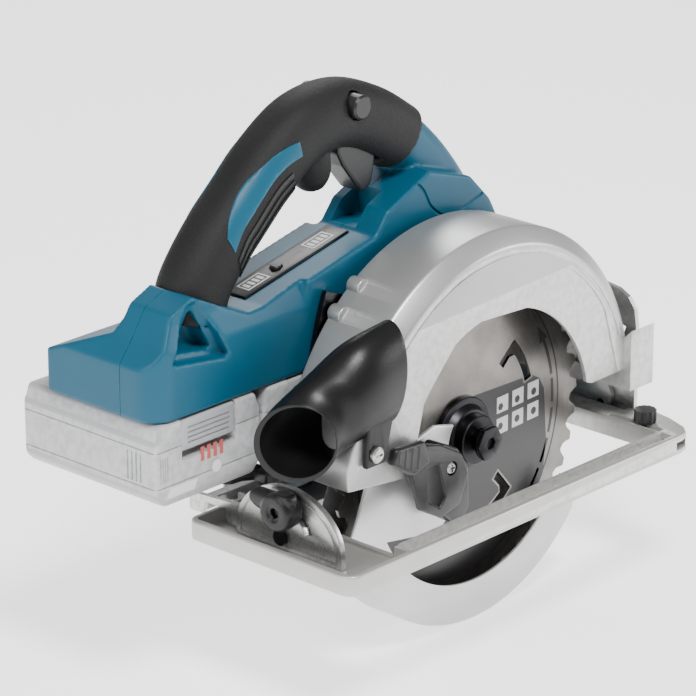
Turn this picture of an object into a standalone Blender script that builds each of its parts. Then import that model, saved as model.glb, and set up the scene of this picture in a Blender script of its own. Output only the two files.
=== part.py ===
"""Cordless circular saw, right-hand blade, two slide-on battery packs.

World frame: X runs forward along the cut, Y to the left, Z up.
Z = 0 is the sole of the base, X = 0 the blade axis, Y = 0 the seam of the housing.
All lengths in the code are millimetres until mesh_object() turns them into metres.
"""
import math

import bmesh
import bpy
from mathutils import Matrix, Vector

# Driving dimensions, millimetres and degrees
MM = 0.001
BLADE_Y = -47.0
AXIS_Z = 26.5
BLADE_R = 95.0
BLADE_T = 1.8
BORE_R = 10.0
TEETH = 40
GUARD_R = 101.0
GUARD_WALL = 1.6
GUARD_PORT_R = 79.0
CASE_R = 115.5
CASE_WALL = 3.0
CASE_RIGHT = -74.5
CASE_SHOULDER = -67.0
CASE_FACE_R = 107.0
CASE_LEFT = -29.5
LEVER_FACE = -79.0
LEVER_SCREW_X = -42.0
LEVER_SCREW_Z = 28.0
WINDOW_R = 73.5
BASE_REAR = -151.0
BASE_FRONT = 126.0
BASE_RIGHT = -110.0
BASE_LEFT = 28.0
BASE_REAR_LEFT = 3.0
BASE_H = 11.0
FLOOR = 3.5
BEVEL_Z = 10.0
CLAMP_R = 19.5
CLAMP_ANGLE = 20.0
FRONT_CLAMP_R = 46.0
FRONT_CLAMP_ANGLE = -34.0
DEPTH_X = 100.0
DEPTH_Z = 50.0
DEPTH_RANGE = 24.0
BOLT_X = -85.0
BOLT_Z = 29.0
DECK_REAR = -198.0
DECK_RIGHT = -24.0
DECK_LEFT = 52.0
DECK_BOTTOM = 80.0
PACK_LONG = 95.0
PACK_WIDE = 74.0
PACK_BOTTOM = 36.5
MOTOR_X = 7.5
MOTOR_Z = 47.2
GEAR_TEETH = 32
PINION_TEETH = 8
GEAR_MODULE = 1.1
GAP = 0.3

MATERIALS = {
    "teal": ((0.010, 0.135, 0.215, 1.0), 0.0, 0.38),
    "rubber": ((0.012, 0.012, 0.013, 1.0), 0.0, 0.75),
    "black": ((0.016, 0.016, 0.018, 1.0), 0.0, 0.45),
    "silver": ((0.60, 0.61, 0.61, 1.0), 0.8, 0.42),
    "steel": ((0.50, 0.49, 0.48, 1.0), 1.0, 0.30),
    "dark_steel": ((0.06, 0.06, 0.065, 1.0), 1.0, 0.35),
    "copper": ((0.75, 0.30, 0.13, 1.0), 1.0, 0.35),
    "board": ((0.02, 0.16, 0.06, 1.0), 0.0, 0.50),
    "pack": ((0.62, 0.64, 0.66, 1.0), 0.0, 0.40),
    "pack_dark": ((0.40, 0.41, 0.43, 1.0), 0.0, 0.45),
}


# Local Z of a drawn solid turned to each world axis; the outline's two directions stay in X, Y, Z order
AXES = {
    "X": Matrix(((0, 0, 1, 0), (1, 0, 0, 0), (0, 1, 0, 0), (0, 0, 0, 1))),
    "Y": Matrix(((1, 0, 0, 0), (0, 0, 1, 0), (0, 1, 0, 0), (0, 0, 0, 1))),
    "Z": Matrix.Identity(4),
}


def clear_scene():
    """Remove whatever objects the file starts with."""
    for obj in list(bpy.data.objects):
        bpy.data.objects.remove(obj, do_unlink=True)


def make_collection():
    """One collection named for the saw holds every part."""
    coll = bpy.data.collections.new("circular_saw")
    bpy.context.scene.collection.children.link(coll)
    return coll


def set_material(obj, kind):
    """Give the object a Principled material of its own."""
    color, metallic, rough = MATERIALS[kind]
    mat = bpy.data.materials.new(obj.name + "_" + kind)
    mat.use_nodes = True
    node = mat.node_tree.nodes["Principled BSDF"]
    node.inputs["Base Color"].default_value = color
    node.inputs["Metallic"].default_value = metallic
    node.inputs["Roughness"].default_value = rough
    obj.data.materials.clear()
    obj.data.materials.append(mat)


def solid_object(name, bm, axis="Z"):
    """Object from a mesh drawn in millimetres along local Z, turned to lie along the given axis."""
    bmesh.ops.transform(bm, matrix=Matrix.Scale(MM, 4) @ AXES[axis], verts=bm.verts[:])
    bmesh.ops.recalc_face_normals(bm, faces=bm.faces[:])
    mesh = bpy.data.meshes.new(name)
    bm.to_mesh(mesh)
    bm.free()
    obj = bpy.data.objects.new(name, mesh)
    bpy.data.collections["circular_saw"].objects.link(obj)
    return obj


def drawn_mesh(obj):
    """Welded mesh of a temporary object as its modifiers or its curve settings shape it."""
    bpy.context.scene.collection.objects.link(obj)
    graph = bpy.context.evaluated_depsgraph_get()
    graph.update()
    mesh = bpy.data.meshes.new_from_object(obj.evaluated_get(graph))
    bm = bmesh.new()
    bm.from_mesh(mesh)
    bpy.data.objects.remove(obj, do_unlink=True)
    bpy.data.meshes.remove(mesh)
    bmesh.ops.remove_doubles(bm, verts=bm.verts[:], dist=0.0005)
    bmesh.ops.dissolve_limit(bm, angle_limit=0.002, verts=bm.verts[:], edges=bm.edges[:])
    return bm


def prism(name, points, low, high, axis):
    """Flat outline, filled and extruded along an axis from low to high."""
    curve = bpy.data.curves.new(name, "CURVE")
    curve.dimensions = "2D"
    curve.fill_mode = "BOTH"
    curve.extrude = (high - low) / 2.0
    line = curve.splines.new("POLY")
    line.points.add(len(points) - 1)
    for spot, (a, b) in zip(line.points, points):
        spot.co = (a, b, 0.0, 1.0)
    line.use_cyclic_u = True
    bm = drawn_mesh(bpy.data.objects.new(name, curve))
    bmesh.ops.translate(bm, vec=(0.0, 0.0, (low + high) / 2.0), verts=bm.verts[:])
    return solid_object(name, bm, axis)


def box(name, x0, x1, y0, y1, z0, z1):
    """Axis-aligned block."""
    place = Matrix.Translation(((x0 + x1) / 2.0, (y0 + y1) / 2.0, (z0 + z1) / 2.0))
    bm = bmesh.new()
    bmesh.ops.create_cube(bm, size=1.0, matrix=place @ Matrix.Diagonal((x1 - x0, y1 - y0, z1 - z0, 1.0)))
    return solid_object(name, bm)


def arc(cx, cy, radius, start, stop, count):
    """Points on a circular arc, angles in degrees."""
    out = []
    for i in range(count + 1):
        ang = math.radians(start + (stop - start) * i / count)
        out.append((cx + radius * math.cos(ang), cy + radius * math.sin(ang)))
    return out


def disc(name, ca, cb, radius, low, high, axis, count=32):
    """Round bar along an axis; ca, cb are its centre in the other two directions."""
    bm = bmesh.new()
    bmesh.ops.create_cone(
        bm, cap_ends=True, segments=count, radius1=radius, radius2=radius, depth=high - low,
        matrix=Matrix.Translation((ca, cb, (low + high) / 2.0)),
    )
    return solid_object(name, bm, axis)


def ring_points(center, u_vec, v_vec, count, power):
    """Closed superellipse section spanned by two half-axis vectors."""
    out = []
    for i in range(count):
        ang = 2.0 * math.pi * (i + 0.5) / count
        c = math.cos(ang)
        s = math.sin(ang)
        a = math.copysign(abs(c) ** (2.0 / power), c)
        b = math.copysign(abs(s) ** (2.0 / power), s)
        out.append(center + u_vec * a + v_vec * b)
    return out


def loft(name, sections, count=24, power=2.0):
    """Skin between sections given as (center, u half-axis, v half-axis)."""
    bm = bmesh.new()
    rings = []
    for center, u_vec, v_vec in sections:
        spots = ring_points(Vector(center), Vector(u_vec), Vector(v_vec), count, power)
        rings.append([bm.verts.new(spot) for spot in spots])
    for near, far in zip(rings, rings[1:]):
        for i in range(count):
            j = (i + 1) % count
            bm.faces.new((near[i], near[j], far[j], far[i]))
    bm.faces.new(rings[0])
    bm.faces.new(rings[-1])
    return solid_object(name, bm)


def lathe(name, profile, ca, cb, axis, count=32):
    """Turned solid from (radius, along) pairs; the profile closes on the axis."""
    line = [(0.0, profile[0][1])] + profile + [(0.0, profile[-1][1])]
    mesh = bpy.data.meshes.new(name)
    mesh.from_pydata([(r, 0.0, along) for r, along in line], [(i, i + 1) for i in range(len(line) - 1)], [])
    obj = bpy.data.objects.new(name, mesh)
    screw = obj.modifiers.new("Screw", "SCREW")
    screw.axis = "Z"
    screw.steps = count
    screw.render_steps = count
    screw.use_merge_vertices = True
    screw.merge_threshold = 0.0001
    bm = drawn_mesh(obj)
    bpy.data.meshes.remove(mesh)
    bmesh.ops.translate(bm, vec=(ca, cb, 0.0), verts=bm.verts[:])
    return solid_object(name, bm, axis)


def bake(obj):
    """Replace the mesh by its evaluated result and drop the modifiers."""
    graph = bpy.context.evaluated_depsgraph_get()
    graph.update()
    fresh = bpy.data.meshes.new_from_object(obj.evaluated_get(graph))
    obj.modifiers.clear()
    obj.data = fresh


def combine(obj, tool, operation):
    """Exact Boolean of obj with tool; the tool is used up."""
    mod = obj.modifiers.new("join", "BOOLEAN")
    mod.operation = operation
    mod.solver = "EXACT"
    mod.object = tool
    bake(obj)
    bpy.data.objects.remove(tool, do_unlink=True)
    return obj


def cut(obj, *tools):
    """Take each tool away from obj."""
    for tool in tools:
        combine(obj, tool, "DIFFERENCE")
    return obj


def add(obj, *tools):
    """Join each tool to obj."""
    for tool in tools:
        combine(obj, tool, "UNION")
    return obj


def soften(obj, width, segments=2, angle=30.0):
    """Round the edges sharper than angle."""
    mod = obj.modifiers.new("soft", "BEVEL")
    mod.width = width * MM
    mod.segments = segments
    mod.limit_method = "ANGLE"
    mod.angle_limit = math.radians(angle)
    bake(obj)
    return obj


def set_origin(obj, x, y, z):
    """Move the object's origin to a point of the joint axis."""
    spot = Vector((x, y, z)) * MM
    for vert in obj.data.vertices:
        vert.co -= spot
    obj.location = spot


def finish(obj, kind, origin=None):
    """Material, and the origin where the piece turns or slides."""
    set_material(obj, kind)
    if origin is not None:
        set_origin(obj, *origin)
    return obj


def base_outline(inset):
    """Plan of the base, pulled in by inset."""
    r = BASE_RIGHT + inset
    f = BASE_FRONT - inset
    b = BASE_REAR + inset
    left = BASE_LEFT - inset
    rear_left = BASE_REAR_LEFT - inset
    return [
        (b, r + 7.0), (b + 2.0, r + 2.0), (b + 7.0, r),
        (f - 18.0, r), (f - 10.0, r + 3.0), (f - 2.0, r + 20.0), (f, r + 30.0),
        (f, left - 6.0), (f - 6.0, left), (-98.0, left), (-108.0, rear_left + 6.0),
        (-114.0, rear_left), (b + 6.0, rear_left), (b, rear_left - 6.0),
    ]


def build_base():
    """Cast base: rim, floor, blade opening, front cross-member with the fence slot."""
    base = prism("base_plate", base_outline(0.0), 0.0, BASE_H, "Z")
    soften(base, 1.2, 2, 60.0)
    cut(
        base,
        box("c1", BASE_REAR + 3.2, -107.0, BASE_RIGHT + 3.2, BASE_REAR_LEFT - 3.2, FLOOR, 20.0),
        box("c2", -108.0, 102.0, -24.0, BASE_LEFT - 3.2, FLOOR, 20.0),
        box("c3", -104.5, 104.0, BASE_RIGHT + 2.6, -100.0, 7.0, 20.0),
        box("c4", -104.0, 102.0, -97.0, -18.0, -5.0, 20.0),
        box("c8", 103.8, 108.2, -98.0, -62.0, 8.8, 20.0),
        box("c9", -108.0, -103.0, -98.0, -18.0, 5.5, 20.0),
        box("c10", 116.4, 124.4, -64.0, -35.5, FLOOR, 20.0),
        box("c6", 104.0, 115.0, BASE_RIGHT - 5.0, -60.0, 3.0, 7.4),
        disc("c7", 109.5, -84.0, 2.5, 5.0, 20.0, "Z", 24),
    )
    return finish(base, "silver")


def arc_slot(name, radius, half, start, stop, low, high):
    """Cutter for a curved slot about the bevel axis; angles from straight up, right side positive."""
    outer = arc(BLADE_Y, BEVEL_Z, radius + half, 90.0 + start, 90.0 + stop, 12)
    inner = arc(BLADE_Y, BEVEL_Z, radius - half, 90.0 + stop, 90.0 + start, 12)
    return prism(name, outer + inner, low, high, "X")


def build_rear_quadrant():
    """Upright D-shaped plate behind, with the curved clamping slot and the pivot hole."""
    top = arc(0.0, 0.0, 1.0, 0.0, 180.0, 24)
    outline = [(-52.0 + 36.0 * a, 9.0 + 29.0 * b) for a, b in top]
    outline += [(-88.0, FLOOR + GAP), (-16.0, FLOOR + GAP)]
    plate = prism("rear_quadrant", outline, -134.5, -131.2, "X")
    cut(
        plate,
        arc_slot("c1", CLAMP_R, 2.9, 13.0, 72.0, -140.0, -125.0),
        disc("c2", BLADE_Y, BEVEL_Z, 3.0, -140.0, -125.0, "X", 24),
    )
    return finish(plate, "silver")


def build_front_quadrant():
    """Upright scale plate in front, with its curved slot and the pivot hole."""
    outline = [
        (-68.0, BASE_H + GAP), (-68.0, 58.0), (-66.5, 68.0), (-62.0, 74.0), (-55.0, 77.5),
        (-40.0, 79.5), (-20.0, 76.0), (-4.0, 64.0), (7.0, 46.0), (12.0, BASE_H + GAP),
    ]
    plate = prism("front_quadrant", outline, 120.0, 122.6, "X")
    add(plate, box("tongue", 120.0, 122.6, -57.0, -37.0, FLOOR + GAP, BASE_H + 2.0))
    cut(
        plate,
        arc_slot("c1", FRONT_CLAMP_R, 3.0, -40.0, 16.5, 115.0, 130.0),
        disc("c2", BLADE_Y, BEVEL_Z, 3.0, 115.0, 130.0, "X", 24),
    )
    return finish(plate, "silver")


def build_pivot_pin(name, x0, x1):
    """Headed pin on the bevel axis."""
    neck = x0 + math.copysign(1.1, x1 - x0)
    pin = lathe(name, [(4.2, x0), (4.2, neck), (2.6, neck), (2.6, x1)], BLADE_Y, BEVEL_Z, "X", 24)
    return finish(pin, "dark_steel")


def build_rear_bracket():
    """Plate that swings on the rear quadrant and carries the depth guide."""
    outline = [
        (-64.0, 21.0), (-53.0, 8.0), (-50.5, 5.0), (-6.0, 5.0), (-4.0, BASE_H + 1.0), (10.0, BASE_H + 1.0),
        (12.0, 5.0), (21.0, 5.0), (21.0, 14.5), (-16.0, 17.0),
        (-24.0, 27.0), (-52.0, 36.0), (-61.0, 33.0), (-64.5, 27.0),
    ]
    plate = prism("rear_bracket", outline, -130.8, -127.8, "X")
    cut(
        plate,
        disc("c1", BLADE_Y, BEVEL_Z, 3.0, -140.0, -120.0, "X", 24),
        disc("c2", *clamp_spot(CLAMP_R, CLAMP_ANGLE), 2.6, -140.0, -120.0, "X", 24),
    )
    return finish(plate, "silver")


def clamp_spot(radius, angle):
    """Y and Z of a clamp on an arc about the bevel axis; angle from straight up, left negative."""
    ang = math.radians(angle)
    return (BLADE_Y - radius * math.sin(ang), BEVEL_Z + radius * math.cos(ang))


def build_depth_guide():
    """Curved slotted guide that swings about the depth pivot's centre."""
    radius = math.hypot(BOLT_X - DEPTH_X, BOLT_Z - DEPTH_Z)
    first = math.degrees(math.atan2(BOLT_Z - DEPTH_Z, BOLT_X - DEPTH_X)) % 360.0
    low = first + 3.5
    high = first - DEPTH_RANGE - 4.0
    outline = arc(DEPTH_X, DEPTH_Z, radius + 8.5, low, high, 20)
    outline += arc(DEPTH_X, DEPTH_Z, radius - 8.5, high, low, 20)
    guide = prism("depth_guide", outline, -28.4, -25.6, "Y")
    add(guide, box("foot", -127.5, -74.0, -28.4, -25.6, 10.4, 20.5))
    slot = arc(DEPTH_X, DEPTH_Z, radius + 3.4, first + 1.5, first - DEPTH_RANGE - 1.5, 16)
    slot += arc(DEPTH_X, DEPTH_Z, radius - 3.4, first - DEPTH_RANGE - 1.5, first + 1.5, 16)
    cut(guide, prism("c1", slot, -40.0, -20.0, "Y"))
    return finish(guide, "dark_steel")


def build_tilt_rail():
    """Bar along the left of the blade that ties the front and rear brackets together."""
    outline = [
        (-127.4, 4.4), (88.0, 4.4), (96.0, 12.0), (116.6, 12.0),
        (116.6, 17.0), (92.0, 17.0), (84.0, 10.0), (-127.4, 10.0),
    ]
    rail = prism("tilt_rail", outline, 13.5, 20.5, "Y")
    return finish(soften(rail, 0.6, 1), "silver")


def build_front_bracket():
    """Swinging plate behind the front quadrant with the ear of the depth pivot."""
    outline = [
        (-55.0, 16.0), (-53.0, 7.0), (-50.0, 5.0), (-43.0, 5.0), (-38.5, 11.6), (21.0, 11.6), (21.0, 18.0),
        (-13.0, 22.0), (-13.0, 62.0), (-20.0, 68.0), (-27.5, 64.0), (-27.5, 30.0), (-50.0, 27.0),
    ]
    plate = prism("front_bracket", outline, 117.0, 119.7, "X")
    ear = [(92.0, 46.0), (106.0, 17.3), (118.0, 17.3), (118.0, 60.0), (104.0, 60.0), (94.0, 56.0)]
    add(plate, prism("ear", ear, -27.5, -22.5, "Y"))
    cut(
        plate,
        disc("c1", BLADE_Y, BEVEL_Z, 3.0, 100.0, 130.0, "X", 24),
        disc("c2", *clamp_spot(FRONT_CLAMP_R, FRONT_CLAMP_ANGLE), 2.6, 105.0, 130.0, "X", 24),
        disc("c3", DEPTH_X, DEPTH_Z, 3.3, -40.0, -10.0, "Y", 24),
    )
    return finish(plate, "silver")


def build_depth_pin():
    """Pin of the depth pivot, held by the housing."""
    profile = [(5.0, -22.2), (5.0, -20.5), (3.0, -20.5), (3.0, -12.0)]
    pin = lathe("depth_pin", profile, DEPTH_X, DEPTH_Z, "Y", 24)
    stem = disc("stem", DEPTH_X, DEPTH_Z, 3.0, -28.6, -15.0, "Y", 24)
    return finish(add(pin, stem), "dark_steel")


def build_bevel_knob():
    """Wing knob with its stud through the rear slot."""
    y, z = clamp_spot(CLAMP_R, CLAMP_ANGLE)
    knob = lathe(
        "bevel_knob",
        [(2.1, -127.0), (2.1, -135.0), (9.0, -135.0), (10.0, -137.0), (10.5, -145.0), (9.0, -147.4)],
        y, z, "X", 28,
    )
    outline = [(y - 4.0, z + 9.0), (y + 16.0, z + 9.0), (y + 18.5, z + 2.0), (y + 2.0, z - 9.0)]
    wing = prism("wing", outline, -146.8, -138.0, "X")
    add(knob, soften(wing, 1.5, 2))
    cut(knob, disc("c1", y, z, 2.4, -150.0, -144.0, "X", 16))
    return finish(knob, "black", (-140.0, y, z))


def build_bevel_lever():
    """Clamp lever in front of the scale plate."""
    y, z = clamp_spot(FRONT_CLAMP_R, FRONT_CLAMP_ANGLE)
    profile = [(2.1, 116.0), (2.1, 122.9), (7.0, 122.9), (7.0, 129.0), (4.0, 130.0)]
    lever = lathe("bevel_lever", profile, y, z, "X", 24)
    outline = [(y - 38.0, z - 12.0), (y + 2.0, z - 5.5), (y + 3.0, z + 5.5), (y - 36.0, z - 2.0)]
    arm = prism("arm", outline, 123.5, 128.0, "X")
    add(lever, soften(arm, 1.0, 2))
    return finish(lever, "black", (125.0, y, z))


def build_depth_lever():
    """Depth clamp lever: bolt through the guide and a ribbed pad reaching out to the left."""
    lever = lathe(
        "depth_lever",
        [(3.0, -33.8), (3.0, -25.0), (5.6, -25.0), (5.6, -15.2)],
        BOLT_X, BOLT_Z, "Y", 24,
    )
    arm = prism("arm", [(-85.0, 24.0), (-84.0, 34.0), (-122.0, 34.0), (-122.0, 27.0)], -25.0, -15.2, "Y")
    pad = prism("pad", [(-138.0, -8.0), (-114.0, -18.0), (-112.0, 12.0), (-137.0, 18.0)], 27.6, 34.8, "Z")
    add(lever, soften(arm, 1.0, 1), soften(pad, 1.6, 2))
    return finish(lever, "black", (BOLT_X, -20.0, BOLT_Z))


def build_fence_screw():
    """Knurled thumb screw that clamps the rip fence."""
    count = 24
    head = []
    for i in range(count):
        head += arc(109.5, -84.0, 6.2 if i % 2 else 5.5, i * 360.0 / count, i * 360.0 / count, 1)[:1]
    screw = prism("fence_screw", head, BASE_H + 0.6, BASE_H + 7.5, "Z")
    add(screw, disc("stem", 109.5, -84.0, 2.1, 7.4, BASE_H + 3.0, "Z", 20))
    return finish(screw, "black", (109.5, -84.0, 15.0))


def case_outline(radius, grow=0.0):
    """Side outline of the blade case: main arc, rear box and front foot, grown outward."""
    edge = radius + grow
    pts = arc(0.0, AXIS_Z, edge, 7.5, 155.0, 30)
    rear = -115.0 - grow
    pts += [(rear + 4.0, 56.0), (rear, 47.0), (rear, 35.2 - grow), (-64.0, 29.2 - grow)]
    pts += [(-46.0, 46.0 - grow), (60.0, 46.0 - grow), (76.0, 40.0 - grow)]
    return pts


def stack(name, layers):
    """Solid through outlines of equal length, each with its distance along Y."""
    bm = bmesh.new()
    rings = [[bm.verts.new((x, y, z)) for x, z in outline] for outline, y in layers]
    count = len(rings[0])
    for near, far in zip(rings, rings[1:]):
        for i in range(count):
            j = (i + 1) % count
            bm.faces.new((near[i], near[j], far[j]))
            bm.faces.new((near[i], far[j], far[i]))
    bm.faces.new(rings[0])
    bm.faces.new(rings[-1])
    return solid_object(name, bm)


def case_block(name, grow=0.0):
    """Outer form of the blade case with its wide chamfer towards the right face."""
    face = case_outline(CASE_FACE_R, grow)
    wall = case_outline(CASE_R, grow)
    layers = [
        (face, CASE_RIGHT - grow),
        (wall, CASE_SHOULDER - grow),
        (wall, CASE_LEFT + grow),
    ]
    return stack(name, layers)


def case_window():
    """Opening in the right face: round over the blade, flat on top, open below."""
    window = arc(0.0, AXIS_Z, WINDOW_R, 2.0, 73.0, 14)
    window += arc(0.0, AXIS_Z, WINDOW_R, 101.0, 118.0, 4)
    window += arc(0.0, AXIS_Z, 70.0, 136.0, 146.0, 2)
    return window + [(-63.5, 45.0), (-64.2, -20.0), (74.0, -20.0)]


def build_blade_case():
    """Cast upper case: chamfered arc, side walls, window to the blade, rear box."""
    case = case_block("blade_case")
    soften(case, 1.2, 1, 50.0)
    inner = arc(0.0, AXIS_Z, CASE_R - CASE_WALL, 0.0, 180.0, 32)
    inner += [(-112.0, -20.0), (120.0, -20.0)]
    dish = arc(0.0, AXIS_Z, CASE_FACE_R - 4.0, 0.0, 180.0, 32)
    dish += [(-102.0, -20.0), (110.0, -20.0)]
    clearance = [(-80.0, 30.0), (-80.0, 64.0), (-56.0, 40.0), (-56.0, 30.0)]
    cut(
        case,
        prism("c1", inner, CASE_SHOULDER + 2.0, CASE_LEFT - 3.0, "Y"),
        prism("c5", dish, CASE_RIGHT + 2.6, CASE_SHOULDER + 5.0, "Y"),
        prism("c2", case_window(), CASE_RIGHT - 5.0, CASE_SHOULDER + 1.0, "Y"),
        prism("c6", clearance, 100.8, 120.0, "X"),
        disc("c3", 0.0, AXIS_Z, 17.2, CASE_LEFT - 8.0, CASE_LEFT + 5.0, "Y", 40),
        disc("c4", BOLT_X, BOLT_Z, 3.4, CASE_LEFT - 8.0, CASE_LEFT + 5.0, "Y", 24),
    )
    return finish(case, "silver")


def build_lower_guard():
    """Thin swinging guard: a full left wall, a rim, and a narrow ring as its right wall."""
    outline = arc(0.0, AXIS_Z, GUARD_R, 196.0, 323.0, 26)
    outline += [(70.0, -14.0), (24.0, 22.0), (-18.0, 40.0), (-34.0, 44.0), (-84.0, 30.0)]
    guard = prism("lower_guard", outline, BLADE_Y - 13.0, BLADE_Y + 12.5, "Y")
    inner = arc(0.0, AXIS_Z, GUARD_R - GUARD_WALL, 150.0, 400.0, 40)
    inner += [(30.0, 200.0), (-30.0, 200.0)]
    port = arc(0.0, AXIS_Z, GUARD_PORT_R, 207.0, 324.0, 18)
    port += [(75.0, -5.0), (60.0, 60.0), (-8.0, 60.0), (-20.0, 30.0), (-16.0, -2.0), (-30.0, -16.0)]
    hub = arc(0.0, AXIS_Z, 23.5, 0.0, 348.75, 31)
    cut(
        guard,
        prism("hollow", inner, BLADE_Y - 11.6, BLADE_Y + 11.1, "Y"),
        prism("port", port, -70.0, BLADE_Y - 5.0, "Y"),
        prism("hub", hub, -70.0, -20.0, "Y"),
    )
    return finish(guard, "steel", (0.0, BLADE_Y, AXIS_Z))


def build_guard_lever():
    """Thumb lever that swings the lower guard back, stepped out over the case face."""
    hub = [
        (-57.0, 12.0), (-57.0, 34.0), (-46.0, 42.0), (-34.0, 36.0),
        (-26.0, 24.0), (-25.0, 2.0), (-31.0, -6.0), (-38.0, -4.0),
    ]
    arm = [
        (-66.0, 12.0), (-50.0, 3.0), (-35.0, 6.0), (-28.5, 22.0),
        (-34.0, 34.0), (-50.0, 43.0), (-70.0, 50.0), (-76.0, 40.0),
    ]
    pad = [(-89.0, 44.0), (-86.0, 51.5), (-64.0, 50.0), (-60.0, 37.0), (-73.0, 33.0)]
    lever = soften(prism("guard_lever", hub, LEVER_FACE + 2.5, BLADE_Y - 17.6, "Y"), 1.4, 2)
    add(
        lever,
        soften(prism("arm", arm, LEVER_FACE, CASE_RIGHT - 0.8, "Y"), 1.4, 2),
        soften(prism("pad", pad, LEVER_FACE - 2.0, CASE_RIGHT - 0.8, "Y"), 1.8, 2),
        disc("foot", -30.0, 4.0, 4.0, BLADE_Y - 20.0, BLADE_Y - 13.3, "Y", 20),
    )
    recess = disc("recess", LEVER_SCREW_X, LEVER_SCREW_Z, 3.7, LEVER_FACE - 5.0, LEVER_FACE + 2.7, "Y", 24)
    cut(lever, recess)
    return finish(lever, "black", (0.0, BLADE_Y - 20.0, AXIS_Z))


def build_lever_screw():
    """Cross-head screw of the guard lever."""
    profile = [(3.2, LEVER_FACE + 2.4), (3.2, LEVER_FACE + 0.8), (2.4, LEVER_FACE)]
    screw = lathe("lever_screw", profile, LEVER_SCREW_X, LEVER_SCREW_Z, "Y", 24)
    west = LEVER_SCREW_X - 2.0
    east = LEVER_SCREW_X + 2.0
    low = LEVER_SCREW_Z - 2.0
    top = LEVER_SCREW_Z + 2.0
    cut(
        screw,
        box("flat_slot", west, east, LEVER_FACE - 1.0, LEVER_FACE + 1.2, low + 1.5, top - 1.5),
        box("tall_slot", west + 1.5, east - 1.5, LEVER_FACE - 1.0, LEVER_FACE + 1.2, low, top),
    )
    return finish(screw, "steel")


def blade_outline():
    """Rim of the blade with its carbide teeth."""
    pts = []
    for i in range(TEETH):
        start = i * 360.0 / TEETH
        pts += arc(0.0, AXIS_Z, BLADE_R, start, start, 1)[:1]
        pts += arc(0.0, AXIS_Z, BLADE_R - 0.7, start + 2.6, start + 2.6, 1)[:1]
        pts += arc(0.0, AXIS_Z, BLADE_R - 5.0, start + 4.6, start + 4.6, 1)[:1]
        pts += arc(0.0, AXIS_Z, BLADE_R - 4.6, start + 8.2, start + 8.2, 1)[:1]
    return pts


def expansion_slot(name, turn):
    """Curved relief slot of the blade."""
    outer = arc(0.0, 0.0, 59.0, 0.0, -28.0, 8)
    inner = arc(0.0, 0.0, 53.5, -28.0, -7.0, 6)
    hook = [(50.0, -4.0), (43.0, -4.0), (43.0, 1.0)]
    pts = outer + inner + hook
    ang = math.radians(turn)
    cosine = math.cos(ang)
    sine = math.sin(ang)
    turned = [(x * cosine - z * sine, AXIS_Z + x * sine + z * cosine) for x, z in pts]
    return prism(name, turned, BLADE_Y - 5.0, BLADE_Y + 5.0, "Y")


def build_blade():
    """Saw blade with forty teeth and four relief slots."""
    blade = prism("blade", blade_outline(), BLADE_Y - BLADE_T / 2, BLADE_Y + BLADE_T / 2, "Y")
    cut(blade, disc("c1", 0.0, AXIS_Z, BORE_R, -60.0, -30.0, "Y", 40))
    for k in range(4):
        cut(blade, expansion_slot("c2", 44.0 + 90.0 * k))
    return finish(blade, "steel")


def build_spindle_group():
    """Spindle, gear, the two blade flanges and the bolt."""
    front = BLADE_Y - BLADE_T / 2
    back = BLADE_Y + BLADE_T / 2
    spindle = lathe(
        "spindle",
        [(8.0, back + 4.6), (8.0, -17.0), (6.0, -17.0), (6.0, -2.0)],
        0.0, AXIS_Z, "Y", 32,
    )
    nose = disc("nose", 0.0, AXIS_Z, 6.0, front + 0.2, back + 8.0, "Y", 32)
    add(spindle, nose)
    finish(spindle, "dark_steel", (0.0, BLADE_Y, AXIS_Z))
    profile = [(17.0, back + 4.3), (17.0, back + GAP), (9.4, back + GAP), (9.4, back - 1.6)]
    inner = lathe("inner_flange", profile, 0.0, AXIS_Z, "Y", 40)
    cut(inner, disc("c1", 0.0, AXIS_Z, 6.3, -60.0, -30.0, "Y", 32))
    finish(inner, "dark_steel")
    profile = [(20.5, front - GAP), (20.5, front - 3.0), (15.0, front - 6.6), (13.0, front - 13.0)]
    outer = lathe("outer_flange", profile, 0.0, AXIS_Z, "Y", 48)
    cut(outer, disc("c1", 0.0, AXIS_Z, 4.3, -80.0, -40.0, "Y", 24))
    finish(outer, "dark_steel")
    bolt = disc("blade_bolt", 0.0, AXIS_Z, 4.0, front - 15.0, front - 0.2, "Y", 24)
    profile = [(9.5, front - 13.3), (9.5, front - 15.4), (7.5, front - 16.0)]
    head = lathe("head", profile, 0.0, AXIS_Z, "Y", 32)
    hexa = prism("hexa", arc(0.0, AXIS_Z, 7.0, 0.0, 300.0, 5), front - 21.0, front - 15.0, "Y")
    socket = prism("socket", arc(0.0, AXIS_Z, 3.2, 0.0, 300.0, 5), front - 22.0, front - 17.0, "Y")
    cut(add(bolt, head, soften(hexa, 0.6, 1)), socket)
    finish(bolt, "dark_steel")


def gear_outline(cx, cz, teeth, module, turn):
    """Straight-sided gear tooth outline."""
    pitch = teeth * module / 2.0
    step = 360.0 / teeth
    root = pitch - 1.25 * module
    tip = pitch + 0.75 * module
    pts = []
    for i in range(teeth):
        mid = turn + i * step
        for off, rad in ((-0.34, root), (-0.15, tip), (0.15, tip), (0.34, root)):
            pts += arc(cx, cz, rad, mid + off * step, mid + off * step, 1)[:1]
    return pts


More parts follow.
